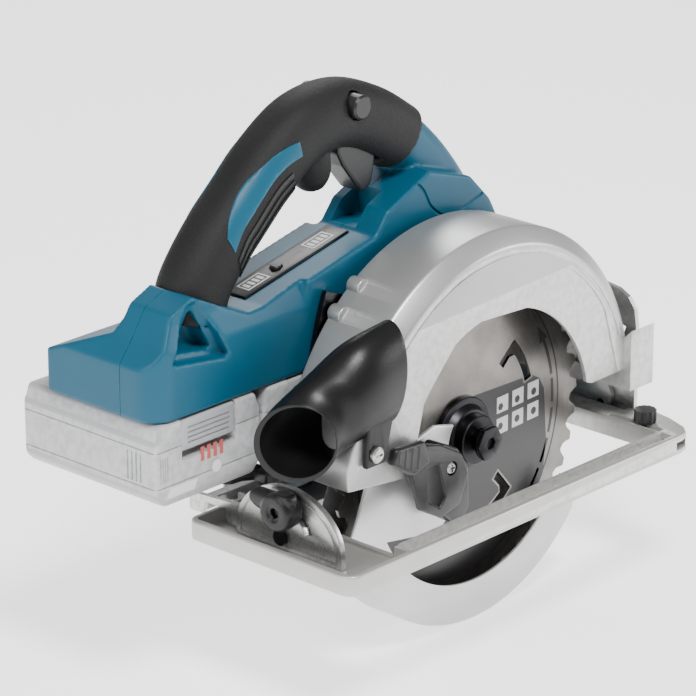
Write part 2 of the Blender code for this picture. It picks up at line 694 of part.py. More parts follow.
def build_gears():
    """Large spindle gear and the pinion on the motor shaft."""
    lean = math.degrees(math.atan2(MOTOR_Z - AXIS_Z, MOTOR_X))
    gear = prism("spindle_gear", gear_outline(0.0, AXIS_Z, GEAR_TEETH, GEAR_MODULE, lean), -16.5, -8.5, "Y")
    cut(gear, disc("c1", 0.0, AXIS_Z, 6.3, -30.0, 0.0, "Y", 32))
    finish(gear, "steel")
    half = 180.0 / PINION_TEETH
    turn = lean + 180.0 + half
    outline = gear_outline(MOTOR_X, MOTOR_Z, PINION_TEETH, GEAR_MODULE, turn)
    pinion = prism("motor_pinion", outline, -16.0, -7.0, "Y")
    cut(pinion, disc("c1", MOTOR_X, MOTOR_Z, 2.5, -30.0, 0.0, "Y", 20))
    finish(pinion, "steel")


def build_motor():
    """Brushless motor: rotor with its shaft, fan, wound stator and the two bearings."""
    rotor = lathe(
        "rotor",
        [
            (2.2, -17.0), (2.2, -2.0), (4.0, -2.0), (4.0, 14.0),
            (13.0, 14.0), (13.0, 46.0), (4.0, 46.0), (4.0, 58.0),
        ],
        MOTOR_X, MOTOR_Z, "Y", 32,
    )
    finish(rotor, "dark_steel", (MOTOR_X, 20.0, MOTOR_Z))
    stator = lathe("stator", [(26.0, 16.0), (26.0, 44.0)], MOTOR_X, MOTOR_Z, "Y", 40)
    cut(stator, disc("c1", MOTOR_X, MOTOR_Z, 13.8, 0.0, 60.0, "Y", 32))
    finish(stator, "copper")
    fan = lathe("motor_fan", [(23.0, 5.0), (23.0, 6.4), (8.0, 6.4), (8.0, 12.0)], MOTOR_X, MOTOR_Z, "Y", 40)
    for k in range(8):
        ang = 2.0 * math.pi * k / 8
        vane = box("vane", 7.0, 22.0, 6.0, 12.0, -0.8, 0.8)
        vane.data.transform(vane_turn(ang))
        add(fan, vane)
    cut(fan, disc("c1", MOTOR_X, MOTOR_Z, 4.3, 0.0, 20.0, "Y", 24))
    finish(fan, "black")
    for name, y0, y1, inner in (("front_bearing", 0.2, 4.4, 4.3), ("rear_bearing", 50.0, 56.0, 4.3)):
        ring = disc(name, MOTOR_X, MOTOR_Z, 9.0, y0, y1, "Y", 32)
        cut(ring, disc("c1", MOTOR_X, MOTOR_Z, inner, y0 - 5.0, y1 + 5.0, "Y", 24))
        finish(ring, "steel")


def vane_turn(ang):
    """Turn about the motor axis."""
    move = Matrix.Translation(Vector((MOTOR_X, 0.0, MOTOR_Z)) * MM)
    return move @ Matrix.Rotation(ang, 4, "Y")


def gear_case_outline(grow):
    """Rounded outline around the motor end and the spindle gear."""
    upper = arc(MOTOR_X, MOTOR_Z, 28.5 + grow, -30.0, 200.0, 20)
    return upper + arc(0.0, AXIS_Z, 21.0 + grow, 182.0, 320.0, 18)


def build_gear_case():
    """Aluminium gear case between the blade case and the motor, open to the left."""
    shell = prism("gear_case", gear_case_outline(0.0), CASE_LEFT + GAP, -1.0, "Y")
    soften(shell, 0.8, 1, 50.0)
    cut(
        shell,
        prism("c1", gear_case_outline(-1.6), -18.0, 10.0, "Y"),
        disc("c2", 0.0, AXIS_Z, 8.5, -40.0, 0.0, "Y", 32),
    )
    return finish(shell, "silver")


def handle_sections(half_thick, half_wide, first, last, trim=0.0):
    """Sections along the handle's centreline from its foot to the neck, ends trimmed."""
    path = [
        (-150.0, 115.0), (-147.0, 133.0), (-133.0, 151.0), (-113.0, 169.0), (-92.0, 187.0), (-70.0, 199.0),
        (-46.0, 201.0), (-22.0, 192.5), (2.0, 177.0), (24.0, 156.0), (40.0, 133.0), (46.0, 106.0),
    ]
    out = []
    for i in range(first, last + 1):
        x, z = path[i]
        a = path[max(i - 1, 0)]
        b = path[min(i + 1, len(path) - 1)]
        run = Vector((b[0] - a[0], 0.0, b[1] - a[1])).normalized()
        side = Vector((-run.z, 0.0, run.x))
        spot = Vector((x, 0.0, z))
        if i == first:
            spot += run * trim
        if i == last:
            spot -= run * trim
        out.append((spot, side * half_thick, Vector((0.0, half_wide, 0.0))))
    return out


def side_cut(name, points, x0, x1):
    """Cutter along X that slopes one flank of the body."""
    return prism(name, points, x0, x1, "X")


def housing_body():
    """Whole clamshell before it is split: deck, rear pillar, handle core, neck and motor barrel."""
    profile = [
        (DECK_REAR, DECK_BOTTOM), (DECK_REAR, 107.0), (-190.0, 117.0), (-180.0, 132.0),
        (-166.0, 138.0), (-130.0, 121.0), (-119.0, 121.5), (-80.0, 130.0), (-39.0, 139.0), (-30.0, 150.0),
        (2.0, 164.0), (34.0, 154.0), (50.0, 138.0), (62.0, 116.0), (78.0, 90.0),
        (108.0, 62.0), (108.0, 42.0),
        (92.0, 40.0), (60.0, 34.0), (36.0, 15.0), (-14.0, 15.0), (-32.0, 24.0), (-43.0, 40.0),
        (-43.0, DECK_BOTTOM),
    ]
    body = prism("housing", profile, DECK_RIGHT, DECK_LEFT, "Y")
    rear = [(11.0, 190.0), (60.0, 190.0), (60.0, 100.0), (DECK_LEFT, 103.0), (14.0, 118.0), (11.0, 126.0)]
    mid = [(20.0, 190.0), (60.0, 190.0), (60.0, 104.0), (DECK_LEFT, 108.0), (22.0, 126.0)]
    front = [(15.0, 190.0), (60.0, 190.0), (60.0, 78.0), (DECK_LEFT, 82.0), (30.0, 108.0), (15.5, 136.0)]
    right = [(-18.5, 190.0), (-40.0, 190.0), (-40.0, 110.0), (DECK_RIGHT - 0.5, 113.0), (-19.0, 128.0)]
    cut(
        body,
        side_cut("c1", rear, DECK_REAR - 5.0, -128.0),
        side_cut("c2", mid, -129.0, -42.0),
        side_cut("c3", front, -43.0, 130.0),
        side_cut("c4", right, DECK_REAR - 5.0, -90.0),
    )
    soften(body, 1.6, 1, 25.0)
    cut(body, loft("c5", handle_sections(18.6, 17.6, 0, 8, 2.6), 20, 2.3))
    core = handle_sections(15.4, 13.8, 0, 11, -4.0)
    return add(body, loft("core", core, 20, 2.4))


def housing_cavities():
    """Hollows of the clamshell: deck, motor barrel, terminal ports, trigger and button slots."""
    deck = [
        (-194.5, 83.0), (-194.5, 103.0), (-184.0, 108.0),
        (-128.0, 111.0), (-46.0, 128.0), (-46.0, 83.0),
    ]
    return [
        prism("c1", deck, DECK_RIGHT + 3.0, 22.0, "Y"),
        box("c2", -194.0, -46.0, 20.0, DECK_LEFT - 3.0, 83.0, 99.0),
        disc("c3", MOTOR_X, MOTOR_Z, 29.2, -40.0, 80.0, "Y", 32),
        prism("c4", gear_case_outline(0.5), -40.0, 0.2, "Y"),
        box("c5", -176.0, -144.0, -12.0, 28.0, 70.0, 90.0),
        box("c6", -100.0, -68.0, -12.0, 28.0, 70.0, 90.0),
        box("c7", -60.0, -18.0, -8.6, 8.6, 140.0, 197.0),
        disc("c8", -45.0, 207.5, 6.9, -40.0, 40.0, "Y", 28),
        disc("c9", DEPTH_X, DEPTH_Z, 38.5, -40.0, -20.2, "Y", 32),
        disc("c10", DEPTH_X, DEPTH_Z, 3.3, -40.0, -11.0, "Y", 24),
        disc("c11", -88.0, 0.0, 3.8, 116.0, 135.0, "Z", 24),
        disc("c15", 10.0, 76.0, 5.9, 80.0, 130.0, "X", 24),
    ]


def build_housing():
    """Right and left clamshell halves."""
    body = housing_body()
    cut(body, *housing_cavities())
    cut(body, panel_cutter(0.4, 6.0))
    left_mesh = body.data.copy()
    body.name = "housing_right"
    left = bpy.data.objects.new("housing_left", left_mesh)
    bpy.data.collections["circular_saw"].objects.link(left)
    cut(body, box("c12", -300.0, 300.0, -0.15, 200.0, -100.0, 400.0))
    cut(left, box("c13", -300.0, 300.0, -200.0, 0.15, -100.0, 400.0))
    finish(body, "teal")
    finish(left, "teal")


def panel_outline(grow):
    """Plan of the indicator panel along the sloping top of the deck."""
    y = 7.5 + grow
    x0 = -118.0 - grow
    x1 = -42.0 + grow
    return [(x0, -y), (x1, -y + 1.0), (x1, y - 1.0), (x0, y)]


def panel_cutter(grow, deep):
    """Pocket that takes the indicator panel; follows the slope of the deck."""
    x0 = -118.0 - grow
    x1 = -42.0 + grow
    side = [(x0, 121.8 + grow + 3.0), (x1, 138.4 + grow + 3.0), (x1, 135.2 - grow), (x0, 118.6 - grow)]
    return prism("c14", side, -7.5 - grow, 7.5 + grow, "Y")


def build_panel():
    """Indicator panel on the deck with its sliding check button."""
    side = [(-118.0, 122.6), (-42.0, 139.2), (-42.0, 135.2), (-118.0, 118.6)]
    panel = prism("panel", side, -7.5, 7.5, "Y")
    soften(panel, 0.6, 1)
    cut(panel, disc("c1", -88.0, 0.0, 3.6, 100.0, 160.0, "Z", 24))
    finish(panel, "black")
    button = disc("panel_button", -88.0, 0.0, 3.2, 126.4, 130.6, "Z", 24)
    finish(button, "black", (-88.0, 0.0, 128.0))


def build_grip():
    """Rubber sleeve over the handle, open below for the trigger."""
    sleeve = loft("grip_sleeve", handle_sections(18.2, 17.2, 0, 8, 3.0), 22, 2.3)
    bulge = loft(
        "bulge",
        [
            ((-66.0, 0.0, 184.0), (11.0, 0.0, 6.0), (0.0, 13.0, 0.0)),
            ((-62.0, 0.0, 172.0), (9.0, 0.0, 4.0), (0.0, 11.0, 0.0)),
            ((-61.0, 0.0, 166.0), (5.0, 0.0, 2.0), (0.0, 7.0, 0.0)),
        ],
        20, 2.0,
    )
    add(sleeve, bulge)
    cut(
        sleeve,
        loft("c1", handle_sections(15.8, 14.2, 0, 11, -4.0), 20, 2.4),
        box("c2", -52.5, -17.0, -9.0, 9.0, 140.0, 196.0),
        disc("c3", -45.0, 207.5, 6.9, -40.0, 40.0, "Y", 28),
    )
    return finish(sleeve, "rubber")


def build_trigger():
    """Trigger with its pivot at the front."""
    outline = [
        (-50.0, 190.0), (-22.0, 190.0), (-21.0, 180.0), (-25.0, 160.0),
        (-32.0, 157.0), (-38.0, 164.0), (-46.0, 174.0), (-50.5, 182.0),
    ]
    trigger = prism("trigger", outline, -7.8, 7.8, "Y")
    return finish(soften(trigger, 1.5, 2), "black", (-25.0, 0.0, 187.0))


def build_lock_off():
    """Cross-bolt lock-off button through the handle above the trigger."""
    profile = [(5.4, -20.4), (6.4, -19.4), (6.4, 19.4), (5.4, 20.4)]
    button = lathe("lock_off_button", profile, -45.0, 207.5, "Y", 28)
    return finish(button, "black", (-45.0, 0.0, 207.5))


def build_motor_cap():
    """Left end of the motor barrel with its cooling slots."""
    profile = [(31.5, DECK_LEFT + GAP), (31.5, 64.0), (27.0, 72.0), (18.0, 75.0)]
    cap = lathe("motor_cap", profile, MOTOR_X, MOTOR_Z, "Y", 32)
    cut(cap, disc("c1", MOTOR_X, MOTOR_Z, 25.0, 40.0, 69.0, "Y", 32))
    for k in range(8):
        ang = 2.0 * math.pi * (k + 0.5) / 8
        slot = box("slot", 8.0, 20.0, 60.0, 90.0, -2.0, 2.0)
        slot.data.transform(vane_turn(ang))
        cut(cap, slot)
    return finish(cap, "teal")


def build_electrics():
    """Controller board, battery terminal blocks and the switch body."""
    board = box("control_board", -140.0, -48.0, -16.0, 26.0, 95.0, 97.0)
    finish(board, "board")
    for name, x0 in (("terminal_block_rear", -175.5), ("terminal_block_front", -99.5)):
        block = box(name, x0, x0 + 31.0, -11.5, 27.5, 80.3, 92.0)
        cut(
            block,
            box("rear_way", x0 + 8.0, x0 + 10.0, -14.0, 20.0, 79.0, 88.0),
            box("front_way", x0 + 21.0, x0 + 23.0, -14.0, 20.0, 79.0, 88.0),
        )
        finish(block, "black")


def nozzle_sections(shrink, stretch):
    """Sections of the dust nozzle from the case to its round outlet."""
    spots = [
        ((-80.0, -68.0, 88.0), (-0.98, 0.0, 0.1), 27.0, 14.0),
        ((-98.0, -66.0, 84.0), (-0.98, -0.05, -0.2), 26.0, 17.0),
        ((-114.0, -62.5, 76.0), (-0.92, -0.25, -0.3), 22.5, 19.5),
        ((-129.0, -60.5, 69.5), (-0.82, -0.50, -0.15), 20.6, 20.2),
        ((-140.0, -62.5, 65.5), (-0.77, -0.63, 0.0), 20.6, 20.6),
    ]
    out = []
    for k, (center, run, tall, wide) in enumerate(spots):
        axis = Vector(run).normalized()
        across = axis.cross(Vector((0.0, 0.0, 1.0))).normalized()
        upward = across.cross(axis).normalized()
        spot = Vector(center)
        if k == 0:
            spot -= axis * stretch
        if k == len(spots) - 1:
            spot += axis * stretch
        out.append((spot, upward * (tall - shrink), across * (wide - shrink)))
    return out


def build_nozzle():
    """Dust nozzle at the rear of the case, hollow, with its fixing tab."""
    nozzle = loft("dust_nozzle", nozzle_sections(0.0, 0.0), 26, 2.0)
    outline = [(-106.0, 46.0), (-92.0, 46.0), (-86.0, 68.0), (-104.0, 70.0)]
    tab = prism("tab", outline, CASE_RIGHT - 4.2, CASE_RIGHT - 0.5, "Y")
    add(nozzle, soften(tab, 1.0, 1))
    cut(
        nozzle,
        loft("c1", nozzle_sections(2.0, 3.0), 24, 2.0),
        case_block("c2", 0.5),
        disc("c3", -99.8, 52.8, 2.5, -90.0, -50.0, "Y", 20),
    )
    return finish(nozzle, "black")


def build_nozzle_screw():
    """Screw of the nozzle's tab."""
    profile = [(4.2, CASE_RIGHT - 4.6), (4.2, CASE_RIGHT - 6.2), (3.2, CASE_RIGHT - 7.0)]
    screw = lathe("nozzle_screw", profile, -99.8, 52.8, "Y", 24)
    stem = disc("stem", -99.8, 52.8, 2.1, CASE_RIGHT - 5.0, CASE_RIGHT - 0.5, "Y", 20)
    add(screw, stem)
    cut(screw, box("c1", -102.3, -97.3, CASE_RIGHT - 8.0, CASE_RIGHT - 6.1, 52.2, 53.4))
    return finish(screw, "steel")


def build_shaft_lock():
    """Shaft-lock button in the front of the housing."""
    button = lathe("shaft_lock", [(5.5, 86.0), (5.5, 98.0), (4.5, 99.5)], 10.0, 76.0, "X", 24)
    return finish(button, "black", (92.0, 10.0, 76.0))


def build_pack(name, button_name, rear):
    """Slide-on battery pack and its release button."""
    right = DECK_RIGHT
    front = rear + PACK_WIDE
    side = [
        (rear, PACK_BOTTOM + 5.0), (rear + 5.0, PACK_BOTTOM),
        (front - 5.0, PACK_BOTTOM), (front, PACK_BOTTOM + 5.0),
        (front, 74.0), (front - 3.0, DECK_BOTTOM - 0.5), (rear + 3.0, DECK_BOTTOM - 0.5), (rear, 74.0),
    ]
    pack = prism(name, side, right, right + PACK_LONG, "Y")
    soften(pack, 1.8, 2)
    mid = (rear + front) / 2.0
    cut(
        pack,
        box("c1", rear + 17.0, front - 19.5, -14.0, 100.0, 76.0, 90.0),
        box("c2", mid - 19.0, mid + 19.0, right - 5.0, right + 7.0, 58.0, 90.0),
    )
    finish(pack, "pack", (mid, right + PACK_LONG / 2.0, 58.0))
    button = box(button_name, mid - 18.5, mid + 18.5, right + 0.4, right + 6.5, 62.5, DECK_BOTTOM - 1.2)
    finish(soften(button, 1.2, 2), "pack_dark", (mid, right + 3.0, 70.0))


def build_all():
    """Every part of the saw."""
    build_base()
    build_rear_quadrant()
    build_front_quadrant()
    build_pivot_pin("rear_pivot_pin", -136.0, -127.0)
    build_pivot_pin("front_pivot_pin", 124.0, 116.7)
    build_rear_bracket()
    build_depth_guide()
    build_tilt_rail()
    build_front_bracket()
    build_depth_pin()
    build_bevel_knob()
    build_bevel_lever()
    build_depth_lever()
    build_fence_screw()
    build_blade_case()
    build_lower_guard()
    build_guard_lever()
    build_lever_screw()
    build_blade()
    build_spindle_group()
    build_gears()
    build_motor()
    build_gear_case()
    build_housing()
    build_panel()
    build_grip()
    build_trigger()
    build_lock_off()
    build_motor_cap()
    build_electrics()
    build_nozzle()
    build_nozzle_screw()
    build_shaft_lock()
    build_pack("battery_rear", "release_rear", DECK_REAR)
    build_pack("battery_front", "release_front", DECK_REAR + PACK_WIDE + 1.5)


clear_scene()
make_collection()
build_all()
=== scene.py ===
"""Looks of the cordless circular saw: fine meshes, materials, light and camera.

X runs forward along the cut, Y to the left, Z up; Z = 0 is the sole of the base.
Lengths are millimetres until mesh_object() turns them into metres.
"""
import math

import bmesh
import bpy
from mathutils import Matrix, Vector


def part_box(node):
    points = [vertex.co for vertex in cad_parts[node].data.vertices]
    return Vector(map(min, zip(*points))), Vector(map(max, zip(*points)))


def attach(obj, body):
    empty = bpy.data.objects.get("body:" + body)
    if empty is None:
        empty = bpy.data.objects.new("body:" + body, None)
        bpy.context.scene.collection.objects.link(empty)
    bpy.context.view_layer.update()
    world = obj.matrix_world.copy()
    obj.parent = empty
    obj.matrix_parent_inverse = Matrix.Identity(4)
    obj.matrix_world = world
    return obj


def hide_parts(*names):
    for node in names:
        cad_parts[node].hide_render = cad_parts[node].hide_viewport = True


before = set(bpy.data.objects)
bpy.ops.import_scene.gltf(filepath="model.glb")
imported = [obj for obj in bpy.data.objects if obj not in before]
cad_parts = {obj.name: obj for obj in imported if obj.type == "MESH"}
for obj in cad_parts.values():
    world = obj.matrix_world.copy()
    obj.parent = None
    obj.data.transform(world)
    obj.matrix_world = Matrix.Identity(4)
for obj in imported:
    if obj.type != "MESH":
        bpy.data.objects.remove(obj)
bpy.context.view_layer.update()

MM = 0.001


def span(node):
    """Lowest and highest corner of a CAD node, millimetres."""
    low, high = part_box(node)
    return low / MM, high / MM


BLADE_LOW, BLADE_HIGH = span("blade")
CASE_LOW, CASE_HIGH = span("blade_case")
BASE_LOW, BASE_HIGH = span("base_plate")
GUARD_LOW, GUARD_HIGH = span("lower_guard")
DECK_LOW, DECK_HIGH = span("housing_left")
CAP_LOW, CAP_HIGH = span("motor_cap")
BUTTON_LOW, BUTTON_HIGH = span("lock_off_button")

# Driving dimensions, read from the frame
BLADE_Y = (BLADE_LOW.y + BLADE_HIGH.y) / 2.0
AXIS_Z = (BLADE_LOW.z + BLADE_HIGH.z) / 2.0
BLADE_R = (BLADE_HIGH.x - BLADE_LOW.x) / 2.0
BLADE_FACE = BLADE_LOW.y
CASE_R = CASE_HIGH.z - AXIS_Z
CASE_RIGHT = CASE_LOW.y
CASE_LEFT = CASE_HIGH.y
CASE_SHOULDER = CASE_RIGHT + 7.5
CASE_FACE_R = CASE_R - 8.5
WINDOW_R = 73.5
GUARD_R = AXIS_Z - GUARD_LOW.z
GUARD_PORT_R = 79.0
DECK_REAR = DECK_LOW.x
DECK_LEFT = DECK_HIGH.y
DECK_RIGHT = -24.0
DECK_BOTTOM = 80.0
SEAM = 0.18
MOTOR_X = (CAP_LOW.x + CAP_HIGH.x) / 2.0
MOTOR_Z = (CAP_LOW.z + CAP_HIGH.z) / 2.0
BUTTON_X = (BUTTON_LOW.x + BUTTON_HIGH.x) / 2.0
BUTTON_Z = (BUTTON_LOW.z + BUTTON_HIGH.z) / 2.0
TEETH = 40
CASE_WALL = 3.0
GUARD_WALL = 1.6
BORE_R = 10.0
FLOOR_Z = 3.5
BEVEL_Z = 10.0
CLAMP_R = 19.5
CLAMP_ANGLE = 20.0
SLOT_TURN = 44.0
SLOT_COUNT = 4
PRINT_HIGH = 0.07
PRINT_DEEP = 0.2
DEPTH_BOLT = (-85.0, 29.0)
LEVER_SCREW = (-42.0, 28.0)
FENCE_SCREW = (109.5, -84.0)
DEPTH_PIVOT = (100.0, 50.0)
CHECK_BUTTON_X = -88.0
STRIP_REAR = (-118.0, 122.8)
STRIP_FRONT = (-42.0, 139.4)


# ---------------------------------------------------------------- mesh helpers
def spot(a, b, t, axis):
    """Point from two coordinates of a drawing and the distance along its axis."""
    if axis == "X":
        return Vector((t, a, b))
    if axis == "Y":
        return Vector((a, t, b))
    return Vector((a, b, t))


def mesh_object(name, bm):
    """Object from a mesh drawn in millimetres."""
    bmesh.ops.transform(bm, matrix=Matrix.Scale(MM, 4), verts=bm.verts[:])
    bmesh.ops.recalc_face_normals(bm, faces=bm.faces[:])
    mesh = bpy.data.meshes.new(name)
    bm.to_mesh(mesh)
    bm.free()
    obj = bpy.data.objects.new(name, mesh)
    bpy.context.scene.collection.objects.link(obj)
    return obj


def skin(name, rings):
    """Closed solid through rings of equal length."""
    bm = bmesh.new()
    loops = [[bm.verts.new(p) for p in ring] for ring in rings]
    count = len(loops[0])
    for near, far in zip(loops, loops[1:]):
        for i in range(count):
            j = (i + 1) % count
            bm.faces.new((near[i], near[j], far[j], far[i]))
    bm.faces.new(loops[0])
    bm.faces.new(loops[-1])
    return mesh_object(name, bm)


def prism(name, points, low, high, axis):
    """Flat outline extruded along an axis."""
    return skin(name, [[spot(a, b, t, axis) for a, b in points] for t in (low, high)])


def box(name, x0, x1, y0, y1, z0, z1):
    """Plain block, used only as a cutter or as part of a solid."""
    return prism(name, [(x0, y0), (x1, y0), (x1, y1), (x0, y1)], z0, z1, "Z")


def arc(ca, cb, radius, start, stop, count):
    """Points on an arc, angles in degrees."""
    pts = []
    for i in range(count + 1):
        ang = math.radians(start + (stop - start) * i / count)
        pts.append((ca + radius * math.cos(ang), cb + radius * math.sin(ang)))
    return pts


def circle(ca, cb, radius, count):
    """Full circle without a doubled point."""
    return arc(ca, cb, radius, 0.0, 360.0, count)[:-1]


def disc(name, ca, cb, radius, low, high, axis, count=64):
    """Round bar, used as a cutter or as part of a solid."""
    return prism(name, circle(ca, cb, radius, count), low, high, axis)


def lathe(name, profile, ca, cb, axis, count=96):
    """Solid of revolution from (radius, distance along the axis) pairs."""
    rings = []
    for radius, t in profile:
        rings.append([spot(a, b, t, axis) for a, b in circle(ca, cb, radius, count)])
    return skin(name, rings)


def ring_points(center, u_vec, v_vec, count, power):
    """Closed ring between an ellipse and a rectangle."""
    pts = []
    for i in range(count):
        ang = 2.0 * math.pi * i / count
        c = math.cos(ang)
        s = math.sin(ang)
        a = math.copysign(abs(c) ** (2.0 / power), c)
        b = math.copysign(abs(s) ** (2.0 / power), s)
        pts.append(Vector(center) + Vector(u_vec) * a + Vector(v_vec) * b)
    return pts


def curve_through(values, steps):
    """Smooth run of vectors through the given ones."""
    out = []
    last = len(values) - 1
    for i in range(last):
        p0 = values[max(i - 1, 0)]
        p1 = values[i]
        p2 = values[i + 1]
        p3 = values[min(i + 2, last)]
        for k in range(steps):
            t = k / steps
            out.append(
                0.5 * ((2.0 * p1) + (p2 - p0) * t + (2.0 * p0 - 5.0 * p1 + 4.0 * p2 - p3) * t * t
                       + (3.0 * p1 - p0 - 3.0 * p2 + p3) * t * t * t)
            )
    out.append(values[last].copy())
    return out


def loft(name, sections, count=72, power=2.0, steps=6):
    """Closed solid through sections given as centre, half width vector, half depth vector."""
    centers = curve_through([Vector(s[0]) for s in sections], steps)
    firsts = curve_through([Vector(s[1]) for s in sections], steps)
    seconds = curve_through([Vector(s[2]) for s in sections], steps)
    rings = [ring_points(c, u, v, count, power) for c, u, v in zip(centers, firsts, seconds)]
    return skin(name, rings)


def bake(obj):
    """Turns the object's modifiers into mesh."""
    bpy.context.view_layer.update()
    graph = bpy.context.evaluated_depsgraph_get()
    mesh = bpy.data.meshes.new_from_object(obj.evaluated_get(graph))
    old = obj.data
    obj.modifiers.clear()
    obj.data = mesh
    bpy.data.meshes.remove(old)
    return obj


def combine(obj, tool, operation):
    """Boolean with a tool, which is removed afterwards."""
    mod = obj.modifiers.new("boolean", "BOOLEAN")
    mod.operation = operation
    mod.solver = "EXACT"
    mod.object = tool
    bake(obj)
    mesh = tool.data
    bpy.data.objects.remove(tool, do_unlink=True)
    bpy.data.meshes.remove(mesh)
    return obj


def cut(obj, *tools):
    """Takes each tool away from the object."""
    for tool in tools:
        combine(obj, tool, "DIFFERENCE")
    return obj


def add(obj, *tools):
    """Joins each tool to the object."""
    for tool in tools:
        combine(obj, tool, "UNION")
    return obj


def keep(obj, tool):
    """Keeps what the object and the tool share."""
    return combine(obj, tool, "INTERSECT")


def soften(obj, width, segments=3, angle=30.0):
    """Rounds the edges sharper than an angle."""
    mod = obj.modifiers.new("bevel", "BEVEL")
    mod.width = width * MM
    mod.segments = segments
    mod.limit_method = "ANGLE"
    mod.angle_limit = math.radians(angle)
    return bake(obj)


def melt(obj, voxel, rounds):
    """Moulded form: an even fine mesh with its edges and inner corners rounded."""
    mod = obj.modifiers.new("remesh", "REMESH")
    mod.mode = "VOXEL"
    mod.voxel_size = voxel * MM
    bake(obj)
    mod = obj.modifiers.new("smooth", "SMOOTH")
    mod.factor = 0.5
    mod.iterations = rounds
    return bake(obj)


def shade(obj, angle=32.0):
    """Smooth faces, with edges sharper than an angle left crisp."""
    bm = bmesh.new()
    bm.from_mesh(obj.data)
    limit = math.radians(angle)
    for face in bm.faces:
        face.smooth = True
    for edge in bm.edges:
        edge.smooth = len(edge.link_faces) == 2 and edge.calc_face_angle(0.0) < limit
    bm.to_mesh(obj.data)
    bm.free()
    return obj


def half(obj, name, y, side):
    """Copy of one side of a solid, closed at the plane Y = y; side is 1 for left, -1 for right."""
    bm = bmesh.new()
    bm.from_mesh(obj.data)
    geometry = bm.verts[:] + bm.edges[:] + bm.faces[:]
    cuts = bmesh.ops.bisect_plane(
        bm, geom=geometry, dist=1e-7, plane_co=(0.0, y * MM, 0.0),
        plane_no=(0.0, -side, 0.0), clear_outer=True,
    )
    rim = [e for e in cuts["geom_cut"] if isinstance(e, bmesh.types.BMEdge)]
    bmesh.ops.triangle_fill(bm, edges=rim, use_beauty=True)
    bmesh.ops.recalc_face_normals(bm, faces=bm.faces[:])
    mesh = bpy.data.meshes.new(name)
    bm.to_mesh(mesh)
    bm.free()
    out = bpy.data.objects.new(name, mesh)
    bpy.context.scene.collection.objects.link(out)
    return out


def put(obj, body, slot, material, *nodes, angle=32.0):
    """Gives a finished piece its material, its body and the CAD nodes that it stands for."""
    shade(obj, angle)
    obj.data.materials.clear()
    obj.data.materials.append(material)
    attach(obj, body)
    if nodes:
        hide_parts(*nodes)
    return obj


# ------------------------------------------------------------------- materials
def node(tree, kind, **values):
    """Adds a shader node and sets its properties."""
    made = tree.nodes.new(kind)
    for key, value in values.items():
        setattr(made, key, value)
    return made


def noise(tree, vector, scale, detail=3.0, rough=0.5):
    """Noise texture fed by a vector socket."""
    tex = node(tree, "ShaderNodeTexNoise")
    tex.inputs["Scale"].default_value = scale
    tex.inputs["Detail"].default_value = detail
    tex.inputs["Roughness"].default_value = rough
    tree.links.new(vector, tex.inputs["Vector"])
    return tex.outputs["Fac"]


def remap(tree, value, low, high, a=0.0, b=1.0):
    """Maps a value from one range to another."""
    made = node(tree, "ShaderNodeMapRange")
    made.inputs["From Min"].default_value = a
    made.inputs["From Max"].default_value = b
    made.inputs["To Min"].default_value = low
    made.inputs["To Max"].default_value = high
    tree.links.new(value, made.inputs["Value"])
    return made.outputs["Result"]


def blend_colors(tree, factor, first, second):
    """Mixes two colours, each a socket or a fixed colour, by a factor socket."""
    made = node(tree, "ShaderNodeMix", data_type="RGBA")
    tree.links.new(factor, made.inputs["Factor"])
    for name, value in (("A", first), ("B", second)):
        socket = [s for s in made.inputs if s.name == name and s.type == "RGBA"][0]
        if isinstance(value, tuple):
            socket.default_value = (*value, 1.0)
        else:
            tree.links.new(value, socket)
    return [s for s in made.outputs if s.type == "RGBA"][0]


def surface(
    name, color, shadow, rough, metallic=0.0, spread=0.06, grain=1800.0, height=0.05,
    patch=45.0, edge_wear_and_sheen=None, specular=0.5, soft=0.0,
):
    """Material with uneven colour, varied gloss, fine grain and paler edges: part wear, part painted
    highlight.
    """
    mat = bpy.data.materials.new(name)
    mat.use_nodes = True
    tree = mat.node_tree
    shader = tree.nodes["Principled BSDF"]
    place = node(tree, "ShaderNodeTexCoord").outputs["Object"]
    cloud = remap(tree, noise(tree, place, patch, 4.0), 0.0, 1.0, 0.3, 0.7)
    tint = blend_colors(tree, cloud, shadow, color)
    # Paler convex edges from Pointiness and noise: part wear, part painted highlight along rims and edges.
    if edge_wear_and_sheen:
        edge = node(tree, "ShaderNodeNewGeometry").outputs["Pointiness"]
        sheen_and_wear_mask = node(tree, "ShaderNodeMath", operation="MULTIPLY")
        tree.links.new(remap(tree, edge, 0.0, 0.7, 0.53, 0.60), sheen_and_wear_mask.inputs[0])
        tree.links.new(remap(tree, noise(tree, place, 260.0), 0.3, 1.0, 0.35, 0.6), sheen_and_wear_mask.inputs[1])
        tint = blend_colors(tree, sheen_and_wear_mask.outputs["Value"], tint, edge_wear_and_sheen)
    tree.links.new(tint, shader.inputs["Base Color"])
    fine = noise(tree, place, grain, 2.0, 0.6)
    tree.links.new(remap(tree, fine, rough - spread, rough + spread, 0.3, 0.7), shader.inputs["Roughness"])
    bump = node(tree, "ShaderNodeBump")
    bump.inputs["Strength"].default_value = height
    bump.inputs["Distance"].default_value = 0.0004
    tree.links.new(fine, bump.inputs["Height"])
    tree.links.new(bump.outputs["Normal"], shader.inputs["Normal"])
    shader.inputs["Metallic"].default_value = metallic
    shader.inputs["Specular IOR Level"].default_value = specular
    shader.inputs["Subsurface Weight"].default_value = soft
    return mat


